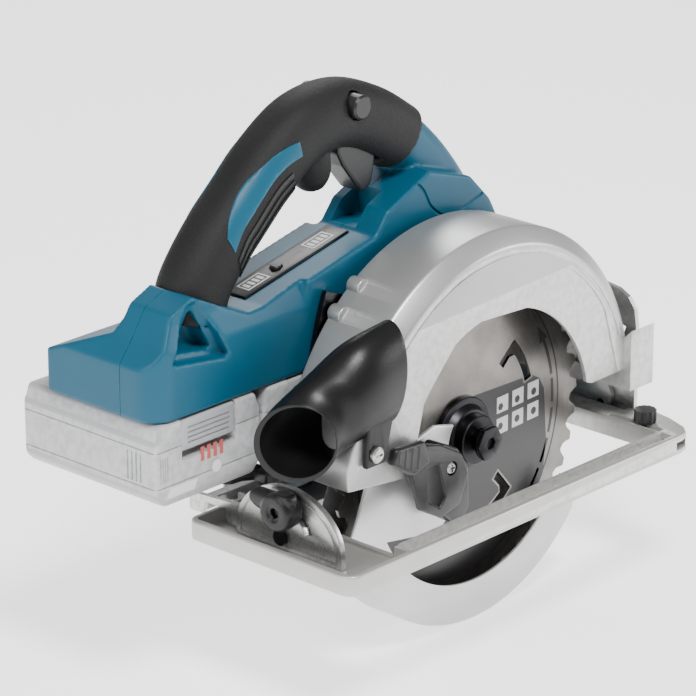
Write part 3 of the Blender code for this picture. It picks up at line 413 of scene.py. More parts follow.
def turned_metal(name, color, shadow, rough, center, rings=2600.0):
    """Metal with fine circular grinding marks round an axis along Y."""
    mat = surface(name, color, shadow, rough, metallic=1.0, spread=0.05, height=0.0)
    tree = mat.node_tree
    shader = tree.nodes["Principled BSDF"]
    place = node(tree, "ShaderNodeTexCoord").outputs["Object"]
    parts = node(tree, "ShaderNodeSeparateXYZ")
    tree.links.new(place, parts.inputs["Vector"])
    shifted = []
    for axis, middle in (("X", center[0]), ("Z", center[1])):
        made = node(tree, "ShaderNodeMath", operation="SUBTRACT")
        tree.links.new(parts.outputs[axis], made.inputs[0])
        made.inputs[1].default_value = middle * MM
        shifted.append(made.outputs["Value"])
    joined = node(tree, "ShaderNodeCombineXYZ")
    tree.links.new(shifted[0], joined.inputs["X"])
    tree.links.new(shifted[1], joined.inputs["Y"])
    length = node(tree, "ShaderNodeVectorMath", operation="LENGTH")
    tree.links.new(joined.outputs["Vector"], length.inputs[0])
    around = node(tree, "ShaderNodeCombineXYZ")
    tree.links.new(length.outputs["Value"], around.inputs["X"])
    lines = noise(tree, around.outputs["Vector"], rings, 3.0, 0.7)
    bump = node(tree, "ShaderNodeBump")
    bump.inputs["Strength"].default_value = 0.25
    bump.inputs["Distance"].default_value = 0.0001
    tree.links.new(lines, bump.inputs["Height"])
    tree.links.new(bump.outputs["Normal"], shader.inputs["Normal"])
    tree.links.new(remap(tree, lines, rough - 0.08, rough + 0.1, 0.3, 0.7), shader.inputs["Roughness"])
    return mat


# edge_wear_and_sheen colours are paler edge tones: part wear, part painted highlight.
TEAL = surface(
    "teal_plastic", (0.0045, 0.074, 0.128), (0.0040, 0.068, 0.118), 0.42,
    edge_wear_and_sheen=(0.014, 0.130, 0.205), height=0.05, grain=2600.0, specular=0.26,
)
RUBBER = surface(
    "black_rubber", (0.0085, 0.0085, 0.009), (0.006, 0.006, 0.0065), 0.60,
    grain=1300.0, height=0.7, edge_wear_and_sheen=(0.016, 0.016, 0.017), specular=0.25,
)
RUBBER_SMOOTH = surface(
    "smooth_rubber", (0.008, 0.008, 0.0085), (0.006, 0.006, 0.006), 0.45,
    height=0.05, specular=0.4,
)
BLACK = surface(
    "black_plastic", (0.007, 0.007, 0.0075), (0.005, 0.005, 0.0055), 0.36,
    grain=2200.0, height=0.16, edge_wear_and_sheen=(0.020, 0.020, 0.020), specular=0.4,
)
GLOSS = surface(
    "gloss_plastic", (0.005, 0.005, 0.0055), (0.0035, 0.0035, 0.004), 0.34,
    grain=1700.0, height=0.16, specular=0.3,
)
SILVER = surface(
    "cast_aluminium", (0.43, 0.435, 0.43), (0.40, 0.405, 0.40), 0.36, metallic=0.7,
    grain=2400.0, height=0.12, edge_wear_and_sheen=(0.62, 0.62, 0.61),
)
BASE_METAL = surface(
    "base_casting", (0.47, 0.465, 0.44), (0.42, 0.415, 0.395), 0.38, metallic=0.6,
    grain=2000.0, height=0.14, edge_wear_and_sheen=(0.68, 0.675, 0.65),
)
GUARD_METAL = surface(
    "guard_metal", (0.54, 0.54, 0.545), (0.49, 0.49, 0.495), 0.34, metallic=0.6,
    grain=2600.0, height=0.08, edge_wear_and_sheen=(0.70, 0.70, 0.70),
)
STEEL = surface(
    "plated_steel", (0.42, 0.42, 0.41), (0.33, 0.33, 0.325), 0.30, metallic=0.95,
    grain=3000.0, height=0.08, edge_wear_and_sheen=(0.62, 0.62, 0.60),
)
GUNMETAL = turned_metal("gunmetal", (0.040, 0.040, 0.044), (0.026, 0.026, 0.029), 0.34, (0.0, AXIS_Z))
BLADE_STEEL = turned_metal("blade_steel", (0.24, 0.228, 0.212), (0.15, 0.142, 0.132), 0.30, (0.0, AXIS_Z))
# Dark blade print, also used for the painted shade on the blade's lower half.
BLADE_INK_AND_SHADE = surface("blade_ink_and_shade", (0.010, 0.010, 0.0105), (0.007, 0.007, 0.0075), 0.34, height=0.03)
PACK = surface(
    "pack_shell", (0.34, 0.345, 0.355), (0.32, 0.325, 0.335), 0.36,
    height=0.04, edge_wear_and_sheen=(0.52, 0.52, 0.53), soft=0.04,
)
PACK_PALE = surface("pack_print", (0.70, 0.70, 0.71), (0.66, 0.66, 0.67), 0.45, height=0.03)
RED = surface("gauge_red", (0.52, 0.09, 0.07), (0.44, 0.07, 0.055), 0.35, height=0.02)
WHITE_INK = surface("white_ink", (0.52, 0.52, 0.52), (0.46, 0.46, 0.46), 0.42, height=0.02)
COPPER = surface(
    "windings", (0.40, 0.15, 0.06), (0.26, 0.09, 0.03), 0.34, metallic=0.9,
    grain=900.0, height=0.4,
)
BOARD = surface("circuit_board", (0.012, 0.08, 0.035), (0.008, 0.05, 0.02), 0.40, grain=500.0, height=0.2)


# ------------------------------------------------------------- housing and grip
def handle_sections(half_thick, half_wide, first, last, trim=0.0):
    """Sections along the handle's centreline from its foot to the neck."""
    path = [
        (-150.0, 115.0), (-147.0, 133.0), (-133.0, 151.0), (-113.0, 169.0), (-92.0, 187.0),
        (-70.0, 199.0), (-46.0, 201.0), (-22.0, 192.5), (2.0, 177.0), (24.0, 156.0),
        (40.0, 133.0), (46.0, 106.0),
    ]
    out = []
    for i in range(first, last + 1):
        a = path[max(i - 1, 0)]
        b = path[min(i + 1, len(path) - 1)]
        run = Vector((b[0] - a[0], 0.0, b[1] - a[1])).normalized()
        side = Vector((-run.z, 0.0, run.x))
        center = Vector((path[i][0], 0.0, path[i][1]))
        if i == first:
            center += run * trim
        if i == last:
            center -= run * trim
        out.append((center, side * half_thick, Vector((0.0, half_wide, 0.0))))
    return out


def build_housing():
    """Clamshell: deck, rear pillar with its opening, handle core, neck and motor barrel."""
    profile = [
        (DECK_REAR, DECK_BOTTOM), (DECK_REAR, 107.0), (-190.0, 117.0), (-180.0, 132.0),
        (-166.0, 138.0), (-130.0, 121.0), (-119.0, 121.5), (-80.0, 130.0), (-39.0, 139.0),
        (-30.0, 150.0), (2.0, 164.0), (34.0, 154.0), (50.0, 138.0), (62.0, 116.0), (78.0, 90.0),
        (107.6, 62.0), (107.6, 42.0), (92.0, 40.0), (60.0, 34.0), (36.0, 15.4), (-14.0, 15.4),
        (-32.0, 24.0), (-43.0, 40.0), (-43.0, DECK_BOTTOM),
    ]
    body = prism("housing", profile, DECK_RIGHT, DECK_LEFT, "Y")
    rear = [(11.0, 190.0), (60.0, 190.0), (60.0, 100.0), (DECK_LEFT, 103.0), (14.0, 118.0), (11.0, 126.0)]
    mid = [(20.0, 190.0), (60.0, 190.0), (60.0, 104.0), (DECK_LEFT, 108.0), (22.0, 126.0)]
    front = [(15.0, 190.0), (60.0, 190.0), (60.0, 78.0), (DECK_LEFT, 82.0), (30.0, 108.0), (15.5, 136.0)]
    right = [(-18.5, 190.0), (-40.0, 190.0), (-40.0, 110.0), (DECK_RIGHT - 0.5, 113.0), (-19.0, 128.0)]
    cut(
        body,
        prism("rear_slope", rear, DECK_REAR - 5.0, -128.0, "X"),
        prism("mid_slope", mid, -129.0, -42.0, "X"),
        prism("front_slope", front, -43.0, 130.0, "X"),
        prism("right_slope", right, DECK_REAR - 5.0, -90.0, "X"),
    )
    corner = [(DECK_REAR - 1.0, DECK_RIGHT - 1.0), (DECK_REAR + 13.0, DECK_RIGHT - 1.0)]
    corner += arc(DECK_REAR + 13.0, DECK_RIGHT + 13.0, 13.0, 270.0, 180.0, 10)
    corner += [(DECK_REAR - 1.0, DECK_RIGHT + 13.0)]
    cut(body, prism("corner", corner, 60.0, 150.0, "Z"))
    soften(body, 2.6, 1, 28.0)
    cut(body, loft("finger_gap", handle_sections(18.6, 17.6, 0, 8, 2.6), 56, 2.3, 5))
    core = loft("core", handle_sections(15.0, 13.4, 0, 11, -4.0), 56, 2.4, 5)
    add(body, core)
    opening = [(-179.5, 111.5), (-152.0, 107.5), (-165.0, 130.5), (-168.0, 130.5)]
    pocket = soften(prism("pocket", opening, -40.0, -6.0, "Y"), 2.4, 4, 30.0)
    rim = [(-184.5, 108.5), (-145.0, 103.0), (-163.0, 135.5), (-170.0, 135.0)]
    step = prism("step", rim, -40.0, -17.4, "Y")
    cut(body, pocket, step)
    melt(body, 1.05, 5)
    bed = [(-118.4, 125.2), (-41.6, 141.8), (-41.6, 134.8), (-118.4, 118.2)]
    cavities = [
        disc("barrel", MOTOR_X, MOTOR_Z, 29.2, -40.0, 80.0, "Y", 72),
        box("trigger_well", -60.0, -18.0, -8.6, 8.6, 140.0, 197.0),
        disc("button_way", BUTTON_X, BUTTON_Z, 6.9, -40.0, 40.0, "Y", 48),
        disc("lock_way", 10.0, 76.0, 5.9, 80.0, 130.0, "X", 40),
        prism("panel_bed", bed, -7.9, 7.9, "Y"),
        disc("depth_clear", *DEPTH_PIVOT, 38.5, -40.0, -20.2, "Y", 64),
    ]
    cut(body, *cavities)
    groove = [(-23.7, 168.3), (-14.6, 164.0), (-3.8, 155.5), (4.1, 143.4), (18.3, 136.7), (43.5, 142.7)]
    cut(body, tube("groove", [Vector((x, DECK_RIGHT, z)) for x, z in groove], 1.0))
    for name, side in (("housing_right", -1), ("housing_left", 1)):
        piece = half(body, name + "_shell", side * SEAM, side)
        put(piece, "saw_body", "teal_plastic", TEAL, name, angle=50.0)
    bpy.data.objects.remove(body, do_unlink=True)


def tube(name, points, radius, count=12, steps=6):
    """Round bar along a smooth path."""
    path = curve_through(points, steps)
    rings = []
    for i, p in enumerate(path):
        run = (path[min(i + 1, len(path) - 1)] - path[max(i - 1, 0)]).normalized()
        across = run.cross(Vector((0.0, 1.0, 0.0)))
        if across.length < 0.2:
            across = run.cross(Vector((1.0, 0.0, 0.0)))
        across.normalize()
        rings.append(ring_points(p, across * radius, across.cross(run) * radius, count, 2.0))
    return skin(name, rings)


def build_grip():
    """Rubber sleeve with its smooth heel, coloured flash and ribs."""
    sleeve = loft("grip_sleeve_skin", handle_sections(18.2, 17.2, 0, 8, 3.0), 88, 2.3, 7)
    bulge = loft(
        "bulge",
        [
            ((-66.0, 0.0, 184.0), (11.0, 0.0, 6.0), (0.0, 13.0, 0.0)),
            ((-62.0, 0.0, 172.0), (9.0, 0.0, 4.0), (0.0, 11.0, 0.0)),
            ((-61.0, 0.0, 166.0), (5.0, 0.0, 2.0), (0.0, 7.0, 0.0)),
        ],
        40, 2.0, 4,
    )
    add(sleeve, bulge)
    cut(
        sleeve,
        loft("core_way", handle_sections(15.3, 13.7, 0, 11, -4.0), 56, 2.4, 5),
        box("trigger_way", -52.5, -17.0, -9.0, 9.0, 140.0, 196.0),
        disc("button_way", BUTTON_X, BUTTON_Z, 7.0, -40.0, 40.0, "Y", 48),
    )
    melt(sleeve, 0.9, 4)
    put(sleeve, "saw_body", "black_rubber", RUBBER, "grip_sleeve", angle=40.0)
    lower = [
        (-86.4, 191.0), (-95.5, 188.6), (-105.0, 183.6), (-115.3, 174.6),
        (-121.6, 168.6), (-128.6, 162.0), (-134.4, 152.6),
    ]
    upper = [
        (-137.8, 160.0), (-133.5, 169.5), (-122.0, 182.0),
        (-106.0, 192.5), (-95.0, 197.0), (-87.6, 198.4),
    ]
    inlays = [("flash", lower, upper, 18.5, 17.55, TEAL, "teal_plastic")]
    for k in range(3):
        drop = 5.0 + 4.6 * k
        top = [(x + 0.42 * drop, z - 0.92 * drop) for x, z in lower[1:]]
        low = [(x + 0.8, z - 2.2) for x, z in reversed(top)]
        inlays.append((f"rib_{k}", top, low, 18.9, 17.9, RUBBER_SMOOTH, "black_rubber"))
    for name, first, second, thick, wide, material, finish in inlays:
        for side, low_y, high_y in (("right", -30.0, -8.0), ("left", 8.0, 30.0)):
            outline = []
            for run in (first, second):
                smooth = curve_through([Vector((a, b, 0.0)) for a, b in run], 5)
                outline += [(p.x, p.y) for p in smooth]
            inlay = loft(f"{name}_{side}", handle_sections(thick, wide, 0, 8, 3.0), 88, 2.3, 7)
            keep(inlay, prism("outline", outline, low_y, high_y, "Y"))
            cut(inlay, loft("inside", handle_sections(17.2, 16.2, 0, 8, 1.0), 88, 2.3, 7))
            soften(inlay, 0.25, 2, 50.0)
            put(inlay, "saw_body", finish, material, angle=45.0)


def on_strip(name, rear, front, half_wide, tall):
    """Thin block lying on the sloping indicator strip."""
    slope = math.atan2(STRIP_FRONT[1] - STRIP_REAR[1], STRIP_FRONT[0] - STRIP_REAR[0])
    outline = [(rear, -half_wide), (front, -half_wide), (front, half_wide), (rear, half_wide)]
    rings = []
    for lift in (-0.15, tall):
        ring = []
        for along, y in outline:
            x = STRIP_REAR[0] + along * math.cos(slope)
            z = STRIP_REAR[1] + along * math.sin(slope) + lift
            ring.append(Vector((x, y, z)))
        rings.append(ring)
    return skin(name, rings)


def build_panel():
    """Indicator strip on the deck with generic charge symbols and its check button."""
    outline = [STRIP_REAR, STRIP_FRONT, (STRIP_FRONT[0], 135.2), (STRIP_REAR[0], 118.6)]
    strip = prism("panel_strip", outline, -7.5, 7.5, "Y")
    soften(strip, 0.7, 3)
    cut(strip, disc("button_hole", CHECK_BUTTON_X, 0.0, 3.6, 100.0, 160.0, "Z", 40))
    put(strip, "saw_body", "black_plastic", GLOSS, "panel")
    for k, start in enumerate((6.0, 54.0)):
        symbol = on_strip(f"charge_frame_{k}", start, start + 16.0, 4.4, 0.15)
        cut(symbol, on_strip("hollow", start + 0.9, start + 15.1, 3.5, 3.0))
        put(symbol, "saw_body", "black_plastic", WHITE_INK)
        for j in range(4):
            near = start + 1.9 + 3.3 * j
            bar = on_strip(f"charge_bar_{k}_{j}", near, near + 2.1, 2.4, 0.12)
            put(bar, "saw_body", "black_plastic", WHITE_INK)
    profile = [(2.0, 126.8), (3.2, 127.0), (3.2, 130.0), (2.6, 130.6)]
    button = lathe("panel_button_cap", profile, CHECK_BUTTON_X, 0.0, "Z", 48)
    put(button, "check_button", "black_plastic", RUBBER_SMOOTH, "panel_button")


# --------------------------------------------------------------- case and guard
def case_outline(radius, grow=0.0):
    """Side outline of the blade case: main arc, rear box and front foot."""
    edge = radius + grow
    pts = arc(0.0, AXIS_Z, edge, 7.5, 152.0, 96)
    rear = -115.0 - grow
    pts += [(rear + 6.4, 62.0), (rear + 2.4, 54.5), (rear, 47.0), (rear, 35.2 - grow), (-64.0, 29.2 - grow)]
    pts += [(-46.0, 46.0 - grow), (60.0, 46.0 - grow), (76.0, 40.0 - grow)]
    return pts


def case_window():
    """Opening in the right face: round over the blade, flat on top, open below."""
    window = arc(0.0, AXIS_Z, WINDOW_R, 2.0, 73.0, 40)
    window += arc(0.0, AXIS_Z, WINDOW_R, 101.0, 118.0, 10)
    window += arc(0.0, AXIS_Z, 70.0, 136.0, 146.0, 6)
    return window + [(-63.5, 45.0), (-64.2, -20.0), (74.0, -20.0)]


def build_case():
    """Cast upper case with its chamfered rim, raised brow over the window and inner hollow."""
    face = case_outline(CASE_FACE_R)
    wall = case_outline(CASE_R)
    rings = []
    for outline, y in ((face, CASE_RIGHT), (wall, CASE_SHOULDER), (wall, CASE_LEFT)):
        rings.append([Vector((x, y, z)) for x, z in outline])
    case = skin("blade_case_shell", rings)
    soften(case, 1.3, 4, 24.0)
    brow = arc(0.0, AXIS_Z, 100.0, 32.0, 57.0, 10) + [(43.0, 104.5), (-40.6, 103.4), (-55.6, 106.5)]
    brow += arc(0.0, AXIS_Z, 99.0, 130.0, 150.0, 8) + [(-88.0, 20.0), (104.0, 20.0)]
    recess = prism("recess", brow, CASE_RIGHT - 4.0, CASE_RIGHT + 0.9, "Y")
    rim = disc("rim_outer", 0.0, AXIS_Z, CASE_FACE_R - 3.2, CASE_RIGHT - 4.0, CASE_RIGHT + 0.5, "Y", 160)
    cut(rim, disc("rim_inner", 0.0, AXIS_Z, CASE_FACE_R - 4.6, -90.0, -60.0, "Y", 160))
    cut(rim, box("rim_low", -140.0, 140.0, -90.0, -60.0, -90.0, 62.0))
    inner = arc(0.0, AXIS_Z, CASE_R - CASE_WALL, 0.0, 180.0, 96) + [(-112.0, -20.0), (120.0, -20.0)]
    dish = arc(0.0, AXIS_Z, CASE_FACE_R - 4.0, 0.0, 180.0, 96) + [(-102.0, -20.0), (110.0, -20.0)]
    clearance = [(-80.0, 30.0), (-80.0, 64.0), (-56.0, 40.0), (-56.0, 30.0)]
    cut(
        case, recess, rim,
        prism("hollow", inner, CASE_SHOULDER + 2.0, CASE_LEFT - 3.0, "Y"),
        prism("dish", dish, CASE_RIGHT + 3.2, CASE_SHOULDER + 5.0, "Y"),
        prism("window", case_window(), CASE_RIGHT - 5.0, CASE_SHOULDER + 1.0, "Y"),
        prism("foot_slope", clearance, 100.8, 120.0, "X"),
        disc("spindle_way", 0.0, AXIS_Z, 17.2, CASE_LEFT - 8.0, CASE_LEFT + 5.0, "Y"),
        disc("bolt_way", *DEPTH_BOLT, 3.4, CASE_LEFT - 8.0, CASE_LEFT + 5.0, "Y", 32),
    )
    for ang in (124.0, 133.0):
        x = (CASE_R - 1.5) * math.cos(math.radians(ang))
        z = AXIS_Z + (CASE_R - 1.5) * math.sin(math.radians(ang))
        add(case, soften(disc("lug", x, z, 4.8, CASE_LEFT - 9.0, CASE_LEFT - 0.2, "Y", 48), 0.8, 3))
    soften(case, 0.5, 2, 40.0)
    put(case, "saw_body", "cast_aluminium", SILVER, "blade_case")


def build_guard():
    """Lower guard: full left wall, rim and a narrow ring as its right wall."""
    outline = arc(0.0, AXIS_Z, GUARD_R, 196.0, 323.0, 120)
    outline += [(70.0, -14.0), (24.0, 22.0), (-18.0, 40.0), (-34.0, 44.0), (-84.0, 30.0)]
    guard = prism("lower_guard_shell", outline, GUARD_LOW.y, GUARD_HIGH.y, "Y")
    soften(guard, 1.3, 4, 40.0)
    inner = arc(0.0, AXIS_Z, GUARD_R - GUARD_WALL, 150.0, 400.0, 150) + [(30.0, 200.0), (-30.0, 200.0)]
    port = arc(0.0, AXIS_Z, GUARD_PORT_R, 207.0, 324.0, 90)
    port += [(75.0, -5.0), (60.0, 60.0), (-8.0, 60.0), (-20.0, 30.0), (-16.0, -2.0), (-30.0, -16.0)]
    cut(
        guard,
        prism("hollow", inner, GUARD_LOW.y + 1.4, GUARD_HIGH.y - 1.4, "Y"),
        prism("port", port, -70.0, BLADE_Y - 5.0, "Y"),
        disc("hub", 0.0, AXIS_Z, 23.5, -70.0, -20.0, "Y", 96),
    )
    soften(guard, 0.35, 2, 40.0)
    put(guard, "swing_guard", "guard_metal", GUARD_METAL, "lower_guard")


def build_guard_lever():
    """Thumb lever of the guard, stepped out over the case, with ribs on its pad."""
    hub = [
        (-57.0, 12.0), (-57.0, 34.0), (-46.0, 42.0), (-34.0, 36.0),
        (-26.0, 24.0), (-25.0, 2.0), (-31.0, -6.0), (-38.0, -4.0),
    ]
    arm = [
        (-66.0, 12.0), (-50.0, 3.0), (-35.0, 6.0), (-28.5, 22.0),
        (-34.0, 34.0), (-50.0, 43.0), (-70.0, 50.0), (-76.0, 40.0),
    ]
    pad = [(-89.0, 44.0), (-86.0, 51.5), (-64.0, 50.0), (-60.0, 37.0), (-73.0, 33.0)]
    lever = soften(prism("guard_lever_body", hub, -76.5, -64.6, "Y"), 1.6, 4)
    add(
        lever,
        soften(prism("arm", arm, -79.0, CASE_RIGHT - 0.8, "Y"), 1.5, 4),
        soften(prism("pad", pad, -81.0, CASE_RIGHT - 0.8, "Y"), 2.2, 4),
        disc("foot", -30.0, 4.0, 4.0, -67.0, -60.3, "Y", 40),
    )
    cut(lever, disc("recess", *LEVER_SCREW, 3.9, -84.0, -76.3, "Y", 48))
    hollow = [(-60.0, 14.0), (-51.0, 8.0), (-46.0, 14.0), (-52.0, 34.0), (-62.0, 34.0)]
    cut(lever, soften(prism("hollow", hollow, -84.0, -77.8, "Y"), 1.2, 3))
    for k in range(4):
        x = -86.0 + 5.0 * k
        gap = [Vector((x + lean, -81.6, z)) for lean, z in ((0.0, 37.0), (1.0, 45.0), (2.0, 53.0))]
        cut(lever, tube("rib_gap", gap, 1.0))
    soften(lever, 0.3, 2, 45.0)
    put(lever, "swing_guard", "black_plastic", BLACK, "guard_lever")


# ----------------------------------------------------------------- blade group
def at(radius, ang):
    """Point on a circle round the blade axis."""
    return arc(0.0, AXIS_Z, radius, ang, ang, 1)[0]


def relief_slots(outer_arc, inner_arc, hook):
    """Cutters for the hooked slots, spaced evenly round the blade."""
    tools = []
    for k in range(SLOT_COUNT):
        ang = math.radians(SLOT_TURN + 360.0 / SLOT_COUNT * k)
        slot = []
        for x, z in arc(0.0, 0.0, *outer_arc, 24) + arc(0.0, 0.0, *inner_arc, 20) + hook:
            across = x * math.cos(ang) - z * math.sin(ang)
            slot.append((across, AXIS_Z + x * math.sin(ang) + z * math.cos(ang)))
        tools.append(prism("slot", slot, BLADE_Y - 5.0, BLADE_Y + 5.0, "Y"))
    return tools


def ink(name, outline, *cutters):
    """Thin dark mark on the blade's right face: print, and on the large field also painted shade."""
    piece = prism(name, outline, BLADE_FACE - PRINT_HIGH, BLADE_FACE + PRINT_DEEP, "Y")
    cut(piece, *cutters)
    put(piece, "blade_spindle", "blade_steel", BLADE_INK_AND_SHADE, angle=25.0)


def band(near, far, start, stop, count):
    """Outline of a strip between two radii and two angles."""
    return arc(0.0, AXIS_Z, far, start, stop, count) + arc(0.0, AXIS_Z, near, stop, start, count)


def build_blade():
    """Saw blade: ground disc with gullets, relief slots and its bore."""
    tooth = (
        (BLADE_R, 0.0), (BLADE_R - 0.7, 2.6), (BLADE_R - 5.0, 4.2),
        (BLADE_R - 6.2, 5.4), (BLADE_R - 5.2, 7.2), (BLADE_R - 3.0, 8.2),
    )
    pts = []
    for i in range(TEETH):
        start = i * 360.0 / TEETH
        pts += [at(radius, start + turn) for radius, turn in tooth]
    blade = prism("blade_plate", pts, BLADE_LOW.y, BLADE_HIGH.y, "Y")
    cut(blade, disc("bore", 0.0, AXIS_Z, BORE_R, -60.0, -30.0, "Y"))
    hook = [(50.0, -4.0), (43.0, -4.0), (43.0, 1.0)]
    cut(blade, *relief_slots((59.0, 0.0, -28.0), (53.5, -28.0, -7.0), hook))
    put(blade, "blade_spindle", "blade_steel", BLADE_STEEL, "blade", angle=25.0)


def build_blade_print():
    """Marks on the blade, all without meaning: field, ring, dashes, arrow, bars and cells; the field's
    reach to the rim below the hub is painted shade.
    """
    # Dark field: print above the hub, and painted shade of the guard's inside where it reaches radius 80
    # below the hub.
    ink_and_shade_outline = [(0.0, 45.0), (57.0, 43.5), (63.5, 40.0), (67.5, 33.0), (70.0, 4.0)]
    ink_and_shade_outline += arc(0.0, AXIS_Z, 80.0, -32.0, -146.0, 60) + [(-50.0, -8.0), (-20.0, 6.0)]
    hook = [(50.0, -5.0), (42.0, -5.0), (42.0, 2.0)]
    ink("print_and_shade_field", ink_and_shade_outline, *relief_slots((60.0, 1.0, -29.0), (52.5, -29.0, -7.0), hook))
    ring = disc("print_ring", 0.0, AXIS_Z, 79.6, BLADE_FACE - 0.06, BLADE_FACE + PRINT_DEEP, "Y", 160)
    cut(ring, disc("inside", 0.0, AXIS_Z, 78.6, -60.0, -40.0, "Y", 160))
    put(ring, "blade_spindle", "blade_steel", BLADE_INK_AND_SHADE, angle=25.0)
    for k in range(4):
        start = 8.0 - 13.0 * k
        ink(f"print_dash_{k}", band(73.6, 75.6, start, start - 10.5, 12))
    ink("print_line", band(73.6, 75.6, 27.0, 10.0, 16))
    ink("print_arrow", [at(78.0, 27.0), at(71.4, 27.0), at(74.8, 35.0)])
    for k in range(7):
        start = 126.0 - 5.0 * k
        ink(f"print_bar_{k}", band(60.0, 70.0 if k % 2 else 68.0, start, start - 3.6, 4))
    for k in range(3):
        for j in range(2):
            x = 29.0 + 12.5 * k
            z = 29.0 - 12.0 * j + 0.6 * k
            cell = [(x, z), (x + 9.0, z + 0.3), (x + 9.0, z + 9.3), (x, z + 9.0)]
            piece = prism(f"print_cell_{k}_{j}", cell, BLADE_FACE - 0.12, BLADE_FACE, "Y")
            cut(piece, disc("mark", x + 3.0 + k, z + 3.4 + j, 2.2, -60.0, -40.0, "Y", 6 + 2 * k))
            put(piece, "blade_spindle", "blade_steel", WHITE_INK, angle=25.0)


def build_flange():
    """Outer flange cone and the hexagon-socket bolt."""
    steps = [
        (20.5, 0.3), (20.5, 2.4), (19.9, 3.0), (17.0, 3.3), (15.2, 6.2),
        (14.6, 6.8), (13.4, 7.1), (13.0, 12.4), (12.4, 13.0),
    ]
    profile = [(radius, BLADE_FACE - out) for radius, out in steps]
    flange = lathe("outer_flange_cone", profile, 0.0, AXIS_Z, "Y", 128)
    cut(flange, disc("bolt_way", 0.0, AXIS_Z, 6.3, -80.0, -40.0, "Y"))
    put(flange, "blade_spindle", "dark_steel", GUNMETAL, "outer_flange", angle=22.0)
    face = span("blade_bolt")[0].y
    head = prism("blade_bolt_head", circle(0.0, AXIS_Z, 9.5, 6), face, face + 2.7, "Y")
    add(head, disc("collar", 0.0, AXIS_Z, 9.4, face + 1.9, face + 2.7, "Y", 64))
    add(head, disc("shank", 0.0, AXIS_Z, 5.9, face + 2.0, BLADE_Y + 3.0, "Y", 48))
    cut(head, disc("socket", 0.0, AXIS_Z, 3.5, face - 2.0, face + 2.0, "Y", 6))
    soften(head, 0.4, 3, 30.0)
    put(head, "blade_spindle", "dark_steel", GUNMETAL, "blade_bolt", angle=28.0)


# ----------------------------------------------------------------------- nozzle
def nozzle_sections(shrink, stretch):
    """Sections of the dust nozzle from the case to its round outlet."""
    spots = [
        ((-80.0, -68.0, 88.0), (-0.98, 0.0, 0.1), 27.0, 14.0),
        ((-98.0, -66.0, 84.0), (-0.98, -0.05, -0.2), 26.0, 17.0),
        ((-114.0, -62.5, 76.0), (-0.92, -0.25, -0.3), 22.5, 19.5),
        ((-129.0, -60.5, 69.5), (-0.82, -0.50, -0.15), 20.6, 20.2),
        ((-140.0, -62.5, 65.5), (-0.77, -0.63, 0.0), 20.6, 20.6),
    ]
    out = []
    for k, (center, run, tall, wide) in enumerate(spots):
        axis = Vector(run).normalized()
        across = axis.cross(Vector((0.0, 0.0, 1.0))).normalized()
        upward = across.cross(axis).normalized()
        place = Vector(center)
        if k == 0:
            place -= axis * stretch
        if k == len(spots) - 1:
            place += axis * stretch
        out.append((place, upward * (tall - shrink), across * (wide - shrink)))
    return out


def case_block(grow):
    """Outer form of the blade case, used to fit the nozzle to it."""
    rings = []
    face = case_outline(CASE_FACE_R, grow)
    wall = case_outline(CASE_R, grow)
    for outline, y in ((face, CASE_RIGHT - grow), (wall, CASE_SHOULDER - grow), (wall, CASE_LEFT + grow)):
        rings.append([Vector((x, y, z)) for x, z in outline])
    return skin("case_block", rings)


def build_nozzle():
    """Dust nozzle with its thin rim, hollow inside, and its fixing tab."""
    nozzle = loft("dust_nozzle_shell", nozzle_sections(0.0, 0.0), 96, 2.0, 8)
    outline = [(-106.0, 46.0), (-92.0, 46.0), (-86.0, 68.0), (-104.0, 70.0)]
    add(nozzle, soften(prism("tab", outline, CASE_RIGHT - 4.2, CASE_RIGHT - 0.5, "Y"), 1.2, 4))
    cut(
        nozzle,
        loft("bore", nozzle_sections(2.0, 3.0), 96, 2.0, 8),
        case_block(0.6),
        disc("screw_way", -99.8, 52.8, 2.6, -90.0, -50.0, "Y", 40),
    )
    soften(nozzle, 0.5, 3, 35.0)
    put(nozzle, "saw_body", "black_plastic", GLOSS, "dust_nozzle", angle=35.0)


# ------------------------------------------------------------------------- base
def base_outline(inset):
    """Plan of the base, pulled in by inset, with round corners."""
    r = BASE_LOW.y + inset
    f = BASE_HIGH.x - inset
    b = BASE_LOW.x + inset
    left = BASE_HIGH.y - inset
    rear_left = 3.0 - inset
    pts = arc(b + 8.0, r + 8.0, 8.0, 180.0, 270.0, 10)
    pts += [(f - 18.0, r), (f - 12.0, r + 1.6), (f - 7.0, r + 6.6), (f - 2.0, r + 20.0), (f, r + 30.0)]
    pts += arc(f - 6.0, left - 6.0, 6.0, 0.0, 90.0, 8)
    pts += [(-98.0, left), (-101.0, left - 1.4)]
    pts += [(-108.0, rear_left + 6.0), (-111.0, rear_left + 1.4), (-114.0, rear_left)]
    pts += arc(b + 6.0, rear_left - 6.0, 6.0, 90.0, 180.0, 8)
    return pts


